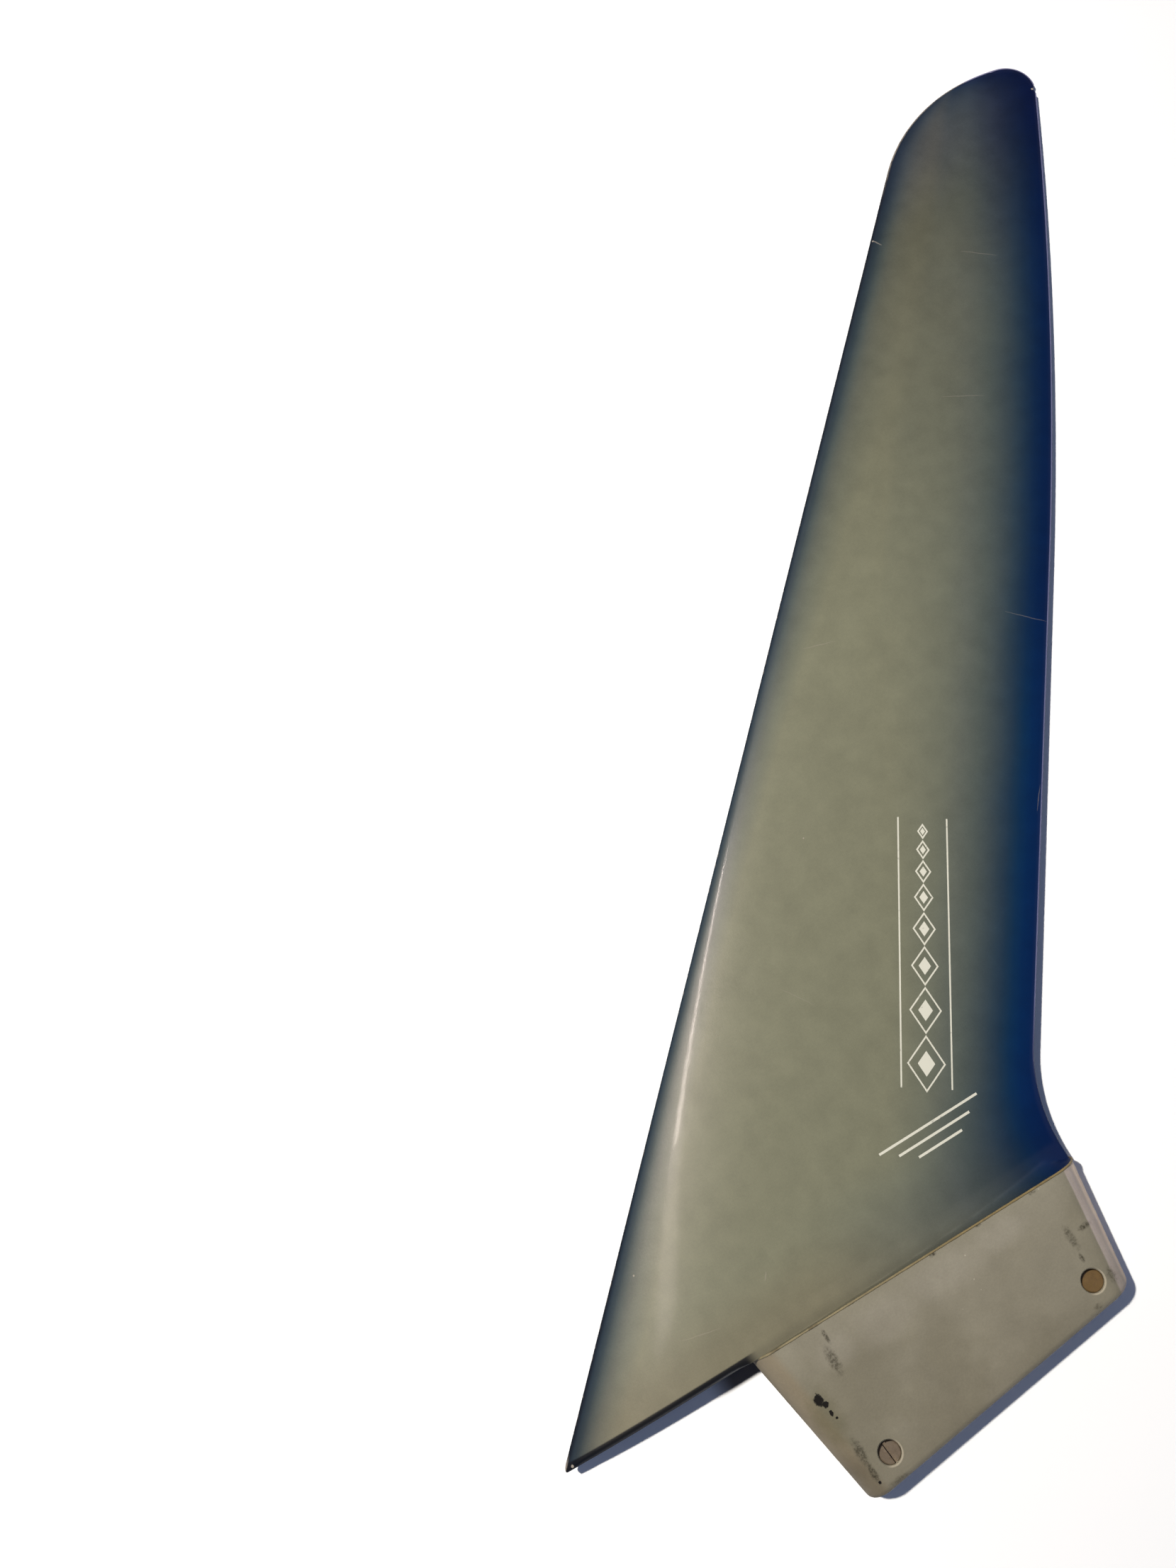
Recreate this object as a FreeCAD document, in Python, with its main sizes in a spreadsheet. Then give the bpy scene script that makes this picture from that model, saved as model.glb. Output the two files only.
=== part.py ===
# Weed fin for a sailboard, lying on its side.
# Frame: the origin is the middle of the plug's top face, where the fin meets the board's bottom.
# +X runs aft along the board, +Y runs out along the blade to its tip, +Z is one side of the fin.
# Lengths are millimetres and angles are degrees.
import FreeCAD, Part
import math
import os
import Sketcher

Vector = FreeCAD.Vector

# Driving sizes: name, value, what it measures
SIZES = [
    ("span", 405.8, "base plane to the highest point of the tip"),
    ("overhang", 77.5, "blade's foot ahead of the plug's front end"),
    ("lead_sweep", 45.5, "leading edge, away from the span direction"),
    ("trail_sweep", 37, "straight part of the trailing edge, away from the span direction"),
    ("trail_inset", 17.7, "plug's rear end to where the straight trailing edge would meet the base"),
    ("trail_margin", 0.3, "plug's rear end to the foot of the trailing edge"),
    ("flare_radius", 60, "hollow curve that brings the trailing edge down to the plug"),
    ("bow_start", 194, "height where the trailing edge starts to bow forward"),
    ("bow_radius", 1990, "bowed upper part of the trailing edge"),
    ("tip_radius", 73.5, "large curve from the leading edge over the tip"),
    ("corner_radius", 13.3, "small curve from the tip into the trailing edge"),
    ("tip_flat_angle", 84, "point of the tip curve where the last section is cut, 90 is the very top"),
    ("fullness", 0.35, "share of the chord ahead of the thickest point"),
    ("root_thickness", 15.5, "thickest point of the foil at the base"),
    ("tip_fineness", 0.05, "thickness over chord at the tip"),
    ("edge_thickness", 1.2, "blunt trailing edge"),
    ("edge_share", 0.4, "largest trailing edge as a share of the section's thickness"),
    ("plug_length", 137.5, "plug at the base plane, front end to rear end"),
    ("plug_thickness", 18.5, "plug at the base plane, side to side"),
    ("plug_depth", 52.3, "base plane to the deep end on the centre line"),
    ("deep_slope", 7, "deep end, deeper at the front"),
    ("front_lean", 10.8, "lean of the axis of the plug's round front end"),
    ("rear_lean", 8.3, "lean of the axis of the plug's round rear end"),
    ("side_taper", 1.2, "lean of each side of the plug"),
    ("rim_radius", 2.5, "rounding round the deep end"),
    ("cove_height", 7, "hollow fillet between the foil and the edge of the plug"),
    ("land_depth", 0.5, "laminate below the base plane, over the cast plug"),
    ("tang_front_wall", 8.75, "plug's front end to the tang, at the base plane"),
    ("tang_rear_wall", 38.75, "tang to the plug's rear end, at the base plane"),
    ("tang_thickness", 8, "tang, side to side"),
    ("tang_depth", 22, "base plane to the tang's end"),
    ("tang_corner", 5, "rounding of the tang's two deep corners"),
    ("nut_front_set", 27.25, "plug's front end to the front nut, along the deep end"),
    ("nut_rear_set", 17.75, "rear nut to the plug's rear end, along the deep end"),
    ("nut_inset", 10, "deep end to the nuts' axes"),
    ("nut_diameter", 8, "barrel nut"),
    ("nut_clearance", 0.1, "air round a barrel nut, on the radius"),
    ("nut_recess", 0.7, "nut's end below the plug's side"),
    ("nut_chamfer", 0.4, "bevel round the nut's ends"),
    ("thread_diameter", 5, "tapped cross hole, at its crests"),
    ("slot_width", 1.3, "screwdriver slot in the nut's end"),
    ("slot_depth", 1.4, "screwdriver slot in the nut's end"),
    ("bore_diameter", 7, "clearance hole for a bolt"),
    ("bore_depth", 20, "deep end to the bottom of a bolt hole"),
]

# How many foil sections shape each stretch of the blade, and how many shape the cove
FLARE_STEPS = 4
MIDDLE_STEPS = 6
TIP_STEPS = 6
COVE_STEPS = 5

doc = FreeCAD.newDocument("WeedFin")


def make_sheet(name, rows):
    """A sheet with one named cell per row: the note, then the value or formula."""
    sheet = doc.addObject("Spreadsheet::Sheet", name)
    for number, (alias, content, note) in enumerate(rows, start=1):
        sheet.set(f"A{number}", note)
        sheet.set(f"B{number}", str(content))
        sheet.setAlias(f"B{number}", alias)
    doc.recompute()
    return sheet


sizes = make_sheet("Sizes", SIZES)

# Points of the blade's outline that follow from the driving sizes.
# The leading edge and the tip curve touch at the shoulder. The trailing edge is a flare, a
# straight, a bow and a corner curve, which ends on the far side of the tip curve.
OUTLINE = [
    ("foot_front", "=-Sizes.plug_length / 2 - Sizes.overhang", "leading edge at the base"),
    ("foot_rear", "=Sizes.plug_length / 2 - Sizes.trail_margin", "trailing edge at the base"),
    ("trail_base", "=Sizes.plug_length / 2 - Sizes.trail_inset", "straight trailing edge at the base"),
    ("tip_cy", "=Sizes.span - Sizes.tip_radius", "centre of the tip curve, out"),
    ("shoulder", "=tip_cy + Sizes.tip_radius * sin(Sizes.lead_sweep)", "where the tip curve starts"),
    ("tip_cx", "=foot_front + shoulder * tan(Sizes.lead_sweep) + Sizes.tip_radius * cos(Sizes.lead_sweep)",
     "centre of the tip curve, aft"),
    ("bow_cx", "=trail_base + Sizes.bow_start * tan(Sizes.trail_sweep)"
               " - Sizes.bow_radius * cos(Sizes.trail_sweep)", "centre of the bow, aft"),
    ("bow_cy", "=Sizes.bow_start + Sizes.bow_radius * sin(Sizes.trail_sweep)", "centre of the bow, out"),
    ("flare_meet", "=(foot_rear - trail_base) / tan(Sizes.trail_sweep)", "height where the two sides of"
                                                                         " the flare would cross"),
    ("flare_reach", "=Sizes.flare_radius * tan(Sizes.trail_sweep / 2)", "flare's tangent length"),
    ("flare_low", "=flare_meet - flare_reach", "lower end of the flare"),
    ("flare_high", "=flare_meet + flare_reach * cos(Sizes.trail_sweep)", "upper end of the flare"),
    ("gap_x", "=tip_cx - bow_cx", "bow's centre to the tip curve's centre, aft"),
    ("gap_y", "=tip_cy - bow_cy", "bow's centre to the tip curve's centre, out"),
    ("gap", "=sqrt(gap_x ^ 2 + gap_y ^ 2)", "bow's centre to the tip curve's centre"),
    ("bow_inner", "=Sizes.bow_radius - Sizes.corner_radius", "bow's centre to the corner's centre"),
    ("tip_inner", "=Sizes.tip_radius - Sizes.corner_radius", "tip curve's centre to the corner's centre"),
    ("along", "=(bow_inner ^ 2 - tip_inner ^ 2 + gap ^ 2) / (2 * gap)", "corner's centre along the gap"),
    ("aside", "=sqrt(bow_inner ^ 2 - along ^ 2)", "corner's centre beside the gap"),
    ("corner_cx", "=bow_cx + (along * gap_x - aside * gap_y) / gap", "centre of the corner curve, aft"),
    ("corner_cy", "=bow_cy + (along * gap_y + aside * gap_x) / gap", "centre of the corner curve, out"),
    ("corner_low", "=bow_cy + (corner_cy - bow_cy) * Sizes.bow_radius / bow_inner", "corner's lower end"),
    ("corner_high", "=tip_cy + (corner_cy - tip_cy) * Sizes.tip_radius / tip_inner", "corner's upper end"),
    ("root_fineness", "=Sizes.root_thickness / (foot_rear - foot_front)", "thickness over chord at the base"),
]
outline = make_sheet("Outline", OUTLINE)


def value(expression):
    """The number that an expression gives, for placing geometry before it is constrained."""
    return float(sizes.evalExpression(expression))


def round_side(centre_x, centre_y, radius, height, side):
    """Expression for the side of a circle at a height: side is + for aft and - for forward."""
    return f"{centre_x} {side} sqrt({radius} ^ 2 - ({height} - {centre_y}) ^ 2)"


def lead_at(height):
    """Expression for the leading edge at a height above the base."""
    straight = f"Outline.foot_front + {height} * tan(Sizes.lead_sweep)"
    tip = round_side("Outline.tip_cx", "Outline.tip_cy", "Sizes.tip_radius", height, "-")
    return f"{height} < Outline.shoulder ? {straight} : {tip}"


def trail_at(height):
    """Expression for the trailing edge at a height above the base."""
    flare = round_side("Outline.foot_rear + Sizes.flare_radius", "Outline.flare_low",
                       "Sizes.flare_radius", height, "-")
    straight = f"Outline.trail_base + {height} * tan(Sizes.trail_sweep)"
    bow = round_side("Outline.bow_cx", "Outline.bow_cy", "Sizes.bow_radius", height, "+")
    corner = round_side("Outline.corner_cx", "Outline.corner_cy", "Sizes.corner_radius", height, "+")
    tip = round_side("Outline.tip_cx", "Outline.tip_cy", "Sizes.tip_radius", height, "+")
    upper = f"({height} < Outline.corner_low ? {bow} : ({height} < Outline.corner_high ? {corner} : {tip}))"
    lower = f"({height} < Outline.flare_high ? {flare} : ({height} < Sizes.bow_start ? {straight} : {upper}))"
    return f"{height} < Outline.flare_low ? Outline.foot_rear : {lower}"


def station_heights():
    """Heights of the foil sections: even along the flare and the middle, by angle round the tip."""
    heights = [f"Outline.flare_high * {step} / {FLARE_STEPS}" for step in range(FLARE_STEPS)]
    heights += [f"Outline.flare_high + (Outline.shoulder - Outline.flare_high) * {step} / {MIDDLE_STEPS}"
                for step in range(MIDDLE_STEPS)]
    heights += ["Outline.tip_cy + Sizes.tip_radius * sin(Sizes.lead_sweep"
                f" + (Sizes.tip_flat_angle - Sizes.lead_sweep) * {step} / {TIP_STEPS})"
                for step in range(TIP_STEPS + 1)]
    return heights


def station_rows():
    """Five named cells for each foil section."""
    rows = []
    for number, height in enumerate(station_heights()):
        here = f"height_{number}"
        chord = f"(trail_{number} - lead_{number})"
        fineness = (f"(Outline.root_fineness - (Outline.root_fineness - Sizes.tip_fineness)"
                    f" * {here} / Sizes.span)")
        rows += [
            (here, f"={height}", f"section {number}: height above the base"),
            (f"lead_{number}", f"={lead_at(here)}", "leading edge"),
            (f"trail_{number}", f"={trail_at(here)}", "trailing edge"),
            (f"thick_{number}", f"={chord} * {fineness}", "thickness"),
            (f"edge_{number}", f"=min(Sizes.edge_thickness; thick_{number} * Sizes.edge_share)", "blunt edge"),
        ]
    return rows


stations = make_sheet("Stations", station_rows())

# The plug's two ends are leaning cones, tangent to its tapered sides.
# taper: half the cone's angle, reach: base plane's end of the plug to the cone's axis.
ENDS = []
for end in ("front", "rear"):
    ENDS += [
        (f"{end}_taper", f"=atan(cos(Sizes.{end}_lean) * tan(Sizes.side_taper)) / 1 deg",
         f"{end} cone's taper in degrees"),
        (f"{end}_reach", f"=Sizes.plug_thickness / 2 * cos({end}_taper)"
                         f" / cos(Sizes.{end}_lean + {end}_taper)", f"{end} cone's axis, in from its end"),
    ]
ends = make_sheet("Ends", ENDS)


def new_body(name):
    body = doc.addObject("PartDesign::Body", name)
    body.Label = name
    return body


def origin_plane(body, role):
    return next(plane for plane in body.Origin.OriginFeatures if plane.Role == role)


def new_sketch(body, name, role):
    """A sketch on one of the body's own origin planes."""
    sketch = body.newObject("Sketcher::SketchObject", name)
    sketch.AttachmentSupport = [(origin_plane(body, role), "")]
    sketch.MapMode = "FlatFace"
    return sketch


def constrain(sketch, rules, sized=()):
    """Adds the plain rules, then the sized ones, each bound to its expression."""
    sketch.addConstraint([Sketcher.Constraint(*rule) for rule in rules])
    for name, rule, expression in sized:
        number = sketch.addConstraint(Sketcher.Constraint(*rule, value(expression)))
        sketch.renameConstraint(number, name)
        sketch.setExpression(f"Constraints.{name}", expression)


def raise_sketch(sketch, height):
    """Moves a sketch on the XZ plane out to a height along +Y. That plane faces -Y."""
    sketch.setExpression("AttachmentOffset.Base.z", f"-({height})")


ORIGIN = (-1, 1)
X_AXIS = -1
START, END, CENTRE = 1, 2, 3


def foil_section(body, number):
    """A symmetric foil section: half an ellipse for the nose, an arc down each side, a blunt edge."""
    lead, trail, thick, edge = (f"Stations.{word}_{number}" for word in ("lead", "trail", "thick", "edge"))
    nose_length = f"Sizes.fullness * ({trail} - {lead})"
    widest = value(f"{lead} + {nose_length}")
    nose = value(nose_length)
    half = value(thick) / 2
    lip = value(edge) / 2
    back = value(trail)
    run = back - widest
    side_radius = (run ** 2 + (half - lip) ** 2) / (2 * (half - lip))

    sketch = new_sketch(body, f"foil_{number}", "XZ_Plane")
    raise_sketch(sketch, f"Stations.height_{number}")
    ellipse = Part.Ellipse(Vector(widest, 0, 0), nose, half)
    nose_arc = sketch.addGeometry(Part.ArcOfEllipse(ellipse, math.pi / 2, 3 * math.pi / 2))
    sketch.exposeInternalGeometry(nose_arc)
    long_axis = nose_arc + 1
    sweep = math.asin(run / side_radius)
    low_circle = Part.Circle(Vector(widest, side_radius - half, 0), Vector(0, 0, 1), side_radius)
    low_arc = sketch.addGeometry(
        Part.ArcOfCircle(low_circle, 3 * math.pi / 2, 3 * math.pi / 2 + sweep))
    lip_line = sketch.addGeometry(Part.LineSegment(Vector(back, -lip, 0), Vector(back, lip, 0)))
    high_circle = Part.Circle(Vector(widest, half - side_radius, 0), Vector(0, 0, 1), side_radius)
    high_arc = sketch.addGeometry(Part.ArcOfCircle(high_circle, math.pi / 2 - sweep, math.pi / 2))
    constrain(sketch, [
        ("PointOnObject", nose_arc, CENTRE, X_AXIS),
        ("Horizontal", long_axis),
        ("Vertical", nose_arc, START, nose_arc, CENTRE),
        ("Vertical", nose_arc, END, nose_arc, CENTRE),
        ("Coincident", nose_arc, START, high_arc, END),
        ("Coincident", nose_arc, END, low_arc, START),
        ("Coincident", low_arc, END, lip_line, START),
        ("Coincident", lip_line, END, high_arc, START),
        ("Vertical", high_arc, CENTRE, high_arc, END),
        ("Vertical", low_arc, CENTRE, low_arc, START),
        ("Symmetric", lip_line, START, lip_line, END, X_AXIS),
    ], [
        ("widest", ("DistanceX", *ORIGIN, nose_arc, CENTRE), f"{lead} + {nose_length}"),
        ("nose", ("Distance", long_axis), f"2 * {nose_length}"),
        ("half_thick", ("DistanceY", nose_arc, CENTRE, nose_arc, START), f"{thick} / 2"),
        ("back", ("DistanceX", *ORIGIN, lip_line, START), trail),
        ("lip", ("DistanceY", lip_line, START, lip_line, END), edge),
    ])
    return sketch


def stadium_section(body, name, front, rear, half_width, height):
    """A long section with half-round ends, across the span at a height. Arguments are expressions."""
    sketch = new_sketch(body, name, "XZ_Plane")
    raise_sketch(sketch, height)
    radius = value(half_width)
    left = value(front) + radius
    right = value(rear) - radius
    quarter = math.pi / 2
    high = sketch.addGeometry(Part.LineSegment(Vector(right, radius, 0), Vector(left, radius, 0)))
    front_end = sketch.addGeometry(
        Part.ArcOfCircle(Part.Circle(Vector(left, 0, 0), Vector(0, 0, 1), radius), quarter, 3 * quarter))
    low = sketch.addGeometry(Part.LineSegment(Vector(left, -radius, 0), Vector(right, -radius, 0)))
    rear_end = sketch.addGeometry(
        Part.ArcOfCircle(Part.Circle(Vector(right, 0, 0), Vector(0, 0, 1), radius), -quarter, quarter))
    constrain(sketch, [
        ("Tangent", high, END, front_end, START),
        ("Tangent", front_end, END, low, START),
        ("Tangent", low, END, rear_end, START),
        ("Tangent", rear_end, END, high, START),
        ("PointOnObject", front_end, CENTRE, X_AXIS),
        ("Horizontal", high),
    ], [
        ("radius", ("Radius", front_end), half_width),
        ("front", ("DistanceX", front_end, CENTRE, *ORIGIN), f"-({front}) - ({half_width})"),
        ("rear", ("DistanceX", *ORIGIN, rear_end, CENTRE), f"{rear} - ({half_width})"),
    ])
    return sketch


def finish(feature, volume, adds):
    """Computes a new feature and checks that it added or cut something."""
    doc.recompute()
    if adds != (feature.Shape.Volume > volume) or feature.Shape.Volume == volume:
        raise RuntimeError(f"{feature.Name} changes nothing")
    return feature


def volume_of(body):
    return body.Shape.Volume if body.Tip else 0


def loft(body, name, sections):
    volume = volume_of(body)
    feature = body.newObject("PartDesign::AdditiveLoft", name)
    feature.Profile = sections[0]
    feature.Sections = sections[1:]
    return finish(feature, volume, adds=True)


def pad(body, name, sketch, length, midplane=False):
    volume = volume_of(body)
    feature = body.newObject("PartDesign::Pad", name)
    feature.Profile = sketch
    feature.setExpression("Length", length)
    feature.Midplane = midplane
    return finish(feature, volume, adds=True)


def polygon_profile(sketch, corners, name=""):
    """A closed shape with straight sides through pairs of expressions."""
    points = [Vector(value(across), value(up), 0) for across, up in corners]
    first = sketch.GeometryCount
    count = len(points)
    for side in range(count):
        sketch.addGeometry(Part.LineSegment(points[side], points[(side + 1) % count]))
    constrain(sketch, [("Coincident", first + side, END, first + (side + 1) % count, START)
                       for side in range(count)])
    for side, (across, up) in enumerate(corners):
        constrain(sketch, [], [
            (f"{name}across_{side}", ("DistanceX", *ORIGIN, first + side, START), across),
            (f"{name}up_{side}", ("DistanceY", *ORIGIN, first + side, START), up),
        ])


def box_profile(sketch, left, right, low, high):
    """A rectangle between four expressions, in the sketch's own directions."""
    polygon_profile(sketch, [(left, low), (right, low), (right, high), (left, high)])


def circles_profile(sketch, diameter, centres):
    """Circles of one diameter at pairs of expressions."""
    for number, (across, up) in enumerate(centres):
        circle = sketch.addGeometry(
            Part.Circle(Vector(value(across), value(up), 0), Vector(0, 0, 1), value(diameter) / 2))
        constrain(sketch, [], [
            (f"diameter_{number}", ("Diameter", circle), diameter),
            (f"across_{number}", ("DistanceX", *ORIGIN, circle, CENTRE), across),
            (f"up_{number}", ("DistanceY", *ORIGIN, circle, CENTRE), up),
        ])


def cut(body, name, sketch, length=None, backward=False):
    """A pocket: through everything both ways, or to a length on one side of its sketch."""
    volume = volume_of(body)
    pocket = body.newObject("PartDesign::Pocket", name)
    pocket.Profile = sketch
    if length is None:
        pocket.Type = "ThroughAll"
        pocket.Midplane = True
    else:
        pocket.Type = "Length"
        pocket.setExpression("Length", length)
        pocket.Reversed = backward
    return finish(pocket, volume, adds=False)


def edge_names(shape, wanted):
    return [f"Edge{number}" for number, edge in enumerate(shape.Edges, start=1) if wanted(edge)]


# Blade: the foil, the cove that spreads it to the plug's outline, the land that carries this
# outline into the box, and the tang inside the plug
TANG_LEFT = "(-Sizes.plug_length / 2 + Sizes.tang_front_wall)"
TANG_RIGHT = "(Sizes.plug_length / 2 - Sizes.tang_rear_wall)"
TANG_LOW, TANG_HIGH = "-Sizes.tang_thickness / 2", "Sizes.tang_thickness / 2"


def cove_section(body, step, name):
    """One section of the cove, drawn in from the plug's outline along a quarter of an ellipse."""
    angle = f"{90 * step / COVE_STEPS}"
    inward = f"(Sizes.plug_thickness - Sizes.edge_thickness) / 2 * sin({angle})"
    return stadium_section(body, name, f"-Sizes.plug_length / 2 + {inward}",
                           f"Sizes.plug_length / 2 - {inward}", f"Sizes.plug_thickness / 2 - {inward}",
                           f"Sizes.cove_height * (1 - cos({angle}))")


def tang_corner_edges(shape):
    """The tang's two deep corners: its straight edges along Z at the deepest level."""
    deep = -value("Sizes.tang_depth")
    return edge_names(shape, lambda edge: abs(edge.BoundBox.YMax - deep) < 1e-4
                      and edge.BoundBox.XLength < 1e-4 and edge.BoundBox.ZLength > 1)


def round_tang(body, base):
    fillet = body.newObject("PartDesign::Fillet", f"{base.Name}_corners")
    fillet.Base = (base, tang_corner_edges(base.Shape))
    fillet.setExpression("Radius", "Sizes.tang_corner")
    doc.recompute()


def make_blade():
    body = new_body("blade")
    loft(body, "foil", [foil_section(body, number) for number in range(len(station_heights()))])
    pad(body, "land", cove_section(body, 0, "land_profile"), "Sizes.land_depth")
    loft(body, "cove", [cove_section(body, step, f"cove_{step}") for step in range(COVE_STEPS + 1)])
    profile = new_sketch(body, "tang_profile", "XZ_Plane")
    box_profile(profile, TANG_LEFT, TANG_RIGHT, TANG_LOW, TANG_HIGH)
    round_tang(body, pad(body, "tang", profile, "Sizes.tang_depth"))
    return body


# Plug: tapered on all sides, cut off at a slope, with the tang's pocket and the holes.
# The nuts and bolts are laid out from the point where the centre line leaves the deep end,
# in directions along that end and square to it.
NUT_PLACES = {
    "barrel_nut_front": "-Sizes.plug_length / 2 + Sizes.nut_front_set",
    "barrel_nut_rear": "Sizes.plug_length / 2 - Sizes.nut_rear_set",
}
HALF_THICKNESS = "(Sizes.plug_thickness / 2)"
BLANK_DEPTH = "(Sizes.plug_depth + Sizes.plug_length / 2 * tan(Sizes.deep_slope) + Sizes.rim_radius)"


def place_on_deep_end(sketch, along_y):
    """Puts a sketch's origin on the deep end's centre and turns it by the slope.
    along_y is the sketch-plane coordinate that runs toward the deep end, x is along the board."""
    axis, depth, turn = along_y
    sketch.AttachmentOffset = FreeCAD.Placement(Vector(), FreeCAD.Rotation(axis, 1))
    sketch.setExpression(f"AttachmentOffset.Base.{depth}", f"{turn}Sizes.plug_depth")
    sketch.setExpression("AttachmentOffset.Rotation.Angle", "Sizes.deep_slope")


# Turning axis, depth coordinate and its sign, for a sketch seen from the side and one seen end on
SIDE_VIEW = (Vector(0, 0, 1), "y", "-")
END_VIEW = (Vector(0, 1, 0), "z", "")


def add_end(body, end, sign):
    """One round end of the plug, turned about its own leaning axis. sign is + at the rear."""
    sketch = new_sketch(body, f"{end}_end_profile", "XY_Plane")
    sketch.AttachmentOffset = FreeCAD.Placement(Vector(), FreeCAD.Rotation(Vector(0, 0, 1), 1))
    sketch.setExpression("AttachmentOffset.Base.x", f"{sign}(Sizes.plug_length / 2 - Ends.{end}_reach)")
    sketch.setExpression("AttachmentOffset.Rotation.Angle", f"0 - {sign}Sizes.{end}_lean")
    above, below = HALF_THICKNESS, f"({BLANK_DEPTH} + {HALF_THICKNESS})"
    polygon_profile(sketch, [
        ("0", above),
        (f"{HALF_THICKNESS} + {above} * tan(Ends.{end}_taper)", above),
        (f"{HALF_THICKNESS} - {below} * tan(Ends.{end}_taper)", f"-{below}"),
        ("0", f"-{below}"),
    ])
    volume = volume_of(body)
    cone = body.newObject("PartDesign::Revolution", f"{end}_end")
    cone.Profile = sketch
    cone.ReferenceAxis = (sketch, ["V_Axis"])
    cone.Angle = 360
    finish(cone, volume, adds=True)


def make_plug():
    body = new_body("head")
    front = "(-Sizes.plug_length / 2 + Ends.front_reach)"
    rear = "(Sizes.plug_length / 2 - Ends.rear_reach)"
    middle = new_sketch(body, "middle_profile", "XY_Plane")
    polygon_profile(middle, [
        (front, "0"),
        (f"{front} + {BLANK_DEPTH} * tan(Sizes.front_lean)", f"-{BLANK_DEPTH}"),
        (f"{rear} - {BLANK_DEPTH} * tan(Sizes.rear_lean)", f"-{BLANK_DEPTH}"),
        (rear, "0"),
    ])
    pad(body, "middle", middle, "Sizes.plug_thickness", midplane=True)
    wedges = new_sketch(body, "side_taper_profile", "YZ_Plane")
    narrow = f"({HALF_THICKNESS} - {BLANK_DEPTH} * tan(Sizes.side_taper))"
    for name, sign in (("high_", ""), ("low_", "-")):
        polygon_profile(wedges, [
            ("0", f"{sign}{HALF_THICKNESS}"),
            (f"-{BLANK_DEPTH}", f"{sign}{HALF_THICKNESS}"),
            (f"-{BLANK_DEPTH}", f"{sign}{narrow}"),
        ], name)
    cut(body, "side_taper", wedges)
    add_end(body, "front", "-")
    add_end(body, "rear", "+")

    above = new_sketch(body, "above_profile", "XY_Plane")
    box_profile(above, "-Sizes.plug_length", "Sizes.plug_length", "-Sizes.land_depth",
                "Sizes.plug_thickness")
    cut(body, "flat_top", above)
    waste = new_sketch(body, "waste_profile", "XY_Plane")
    place_on_deep_end(waste, SIDE_VIEW)
    box_profile(waste, "-Sizes.plug_length", "Sizes.plug_length", "-Sizes.plug_depth", "0")
    sloped = cut(body, "sloped_end", waste)

    rim = body.newObject("PartDesign::Fillet", "rim")
    rim.Base = (sloped, edge_names(sloped.Shape, on_deep_end))
    rim.setExpression("Radius", "Sizes.rim_radius")
    doc.recompute()

    pocket = new_sketch(body, "tang_pocket_profile", "XZ_Plane")
    box_profile(pocket, TANG_LEFT, TANG_RIGHT, TANG_LOW, TANG_HIGH)
    hollow = cut(body, "tang_pocket", pocket, "Sizes.tang_depth", backward=True)
    round_tang(body, hollow)

    nut_holes = new_sketch(body, "nut_holes_profile", "XY_Plane")
    place_on_deep_end(nut_holes, SIDE_VIEW)
    circles_profile(nut_holes, "Sizes.nut_diameter + 2 * Sizes.nut_clearance",
                    [(along, "Sizes.nut_inset") for along in NUT_PLACES.values()])
    cut(body, "nut_holes", nut_holes)

    bolt_holes = new_sketch(body, "bolt_holes_profile", "XZ_Plane")
    place_on_deep_end(bolt_holes, END_VIEW)
    circles_profile(bolt_holes, "Sizes.bore_diameter", [(along, "0") for along in NUT_PLACES.values()])
    cut(body, "bolt_holes", bolt_holes, "Sizes.bore_depth")
    return body


def on_deep_end(edge):
    """True for an edge that lies in the sloped end's plane."""
    slope = math.radians(value("Sizes.deep_slope"))
    out = Vector(math.sin(slope), -math.cos(slope), 0)
    centre = Vector(0, -value("Sizes.plug_depth"), 0)
    ends = [edge.valueAt(edge.FirstParameter), edge.valueAt(edge.LastParameter), edge.CenterOfMass]
    return all(abs((point - centre).dot(out)) < 1e-4 for point in ends)


# Barrel nuts: a brass cylinder across the plug, tapped across its middle for the bolt, slotted
# at one end in line with the bolt. The rear one went in the other way round, so its slot faces -Z.
NUT_LENGTH = ("(Sizes.plug_thickness - 2 * (Sizes.plug_depth - Sizes.nut_inset) * tan(Sizes.side_taper)"
              " - 2 * Sizes.nut_recess)")


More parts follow.
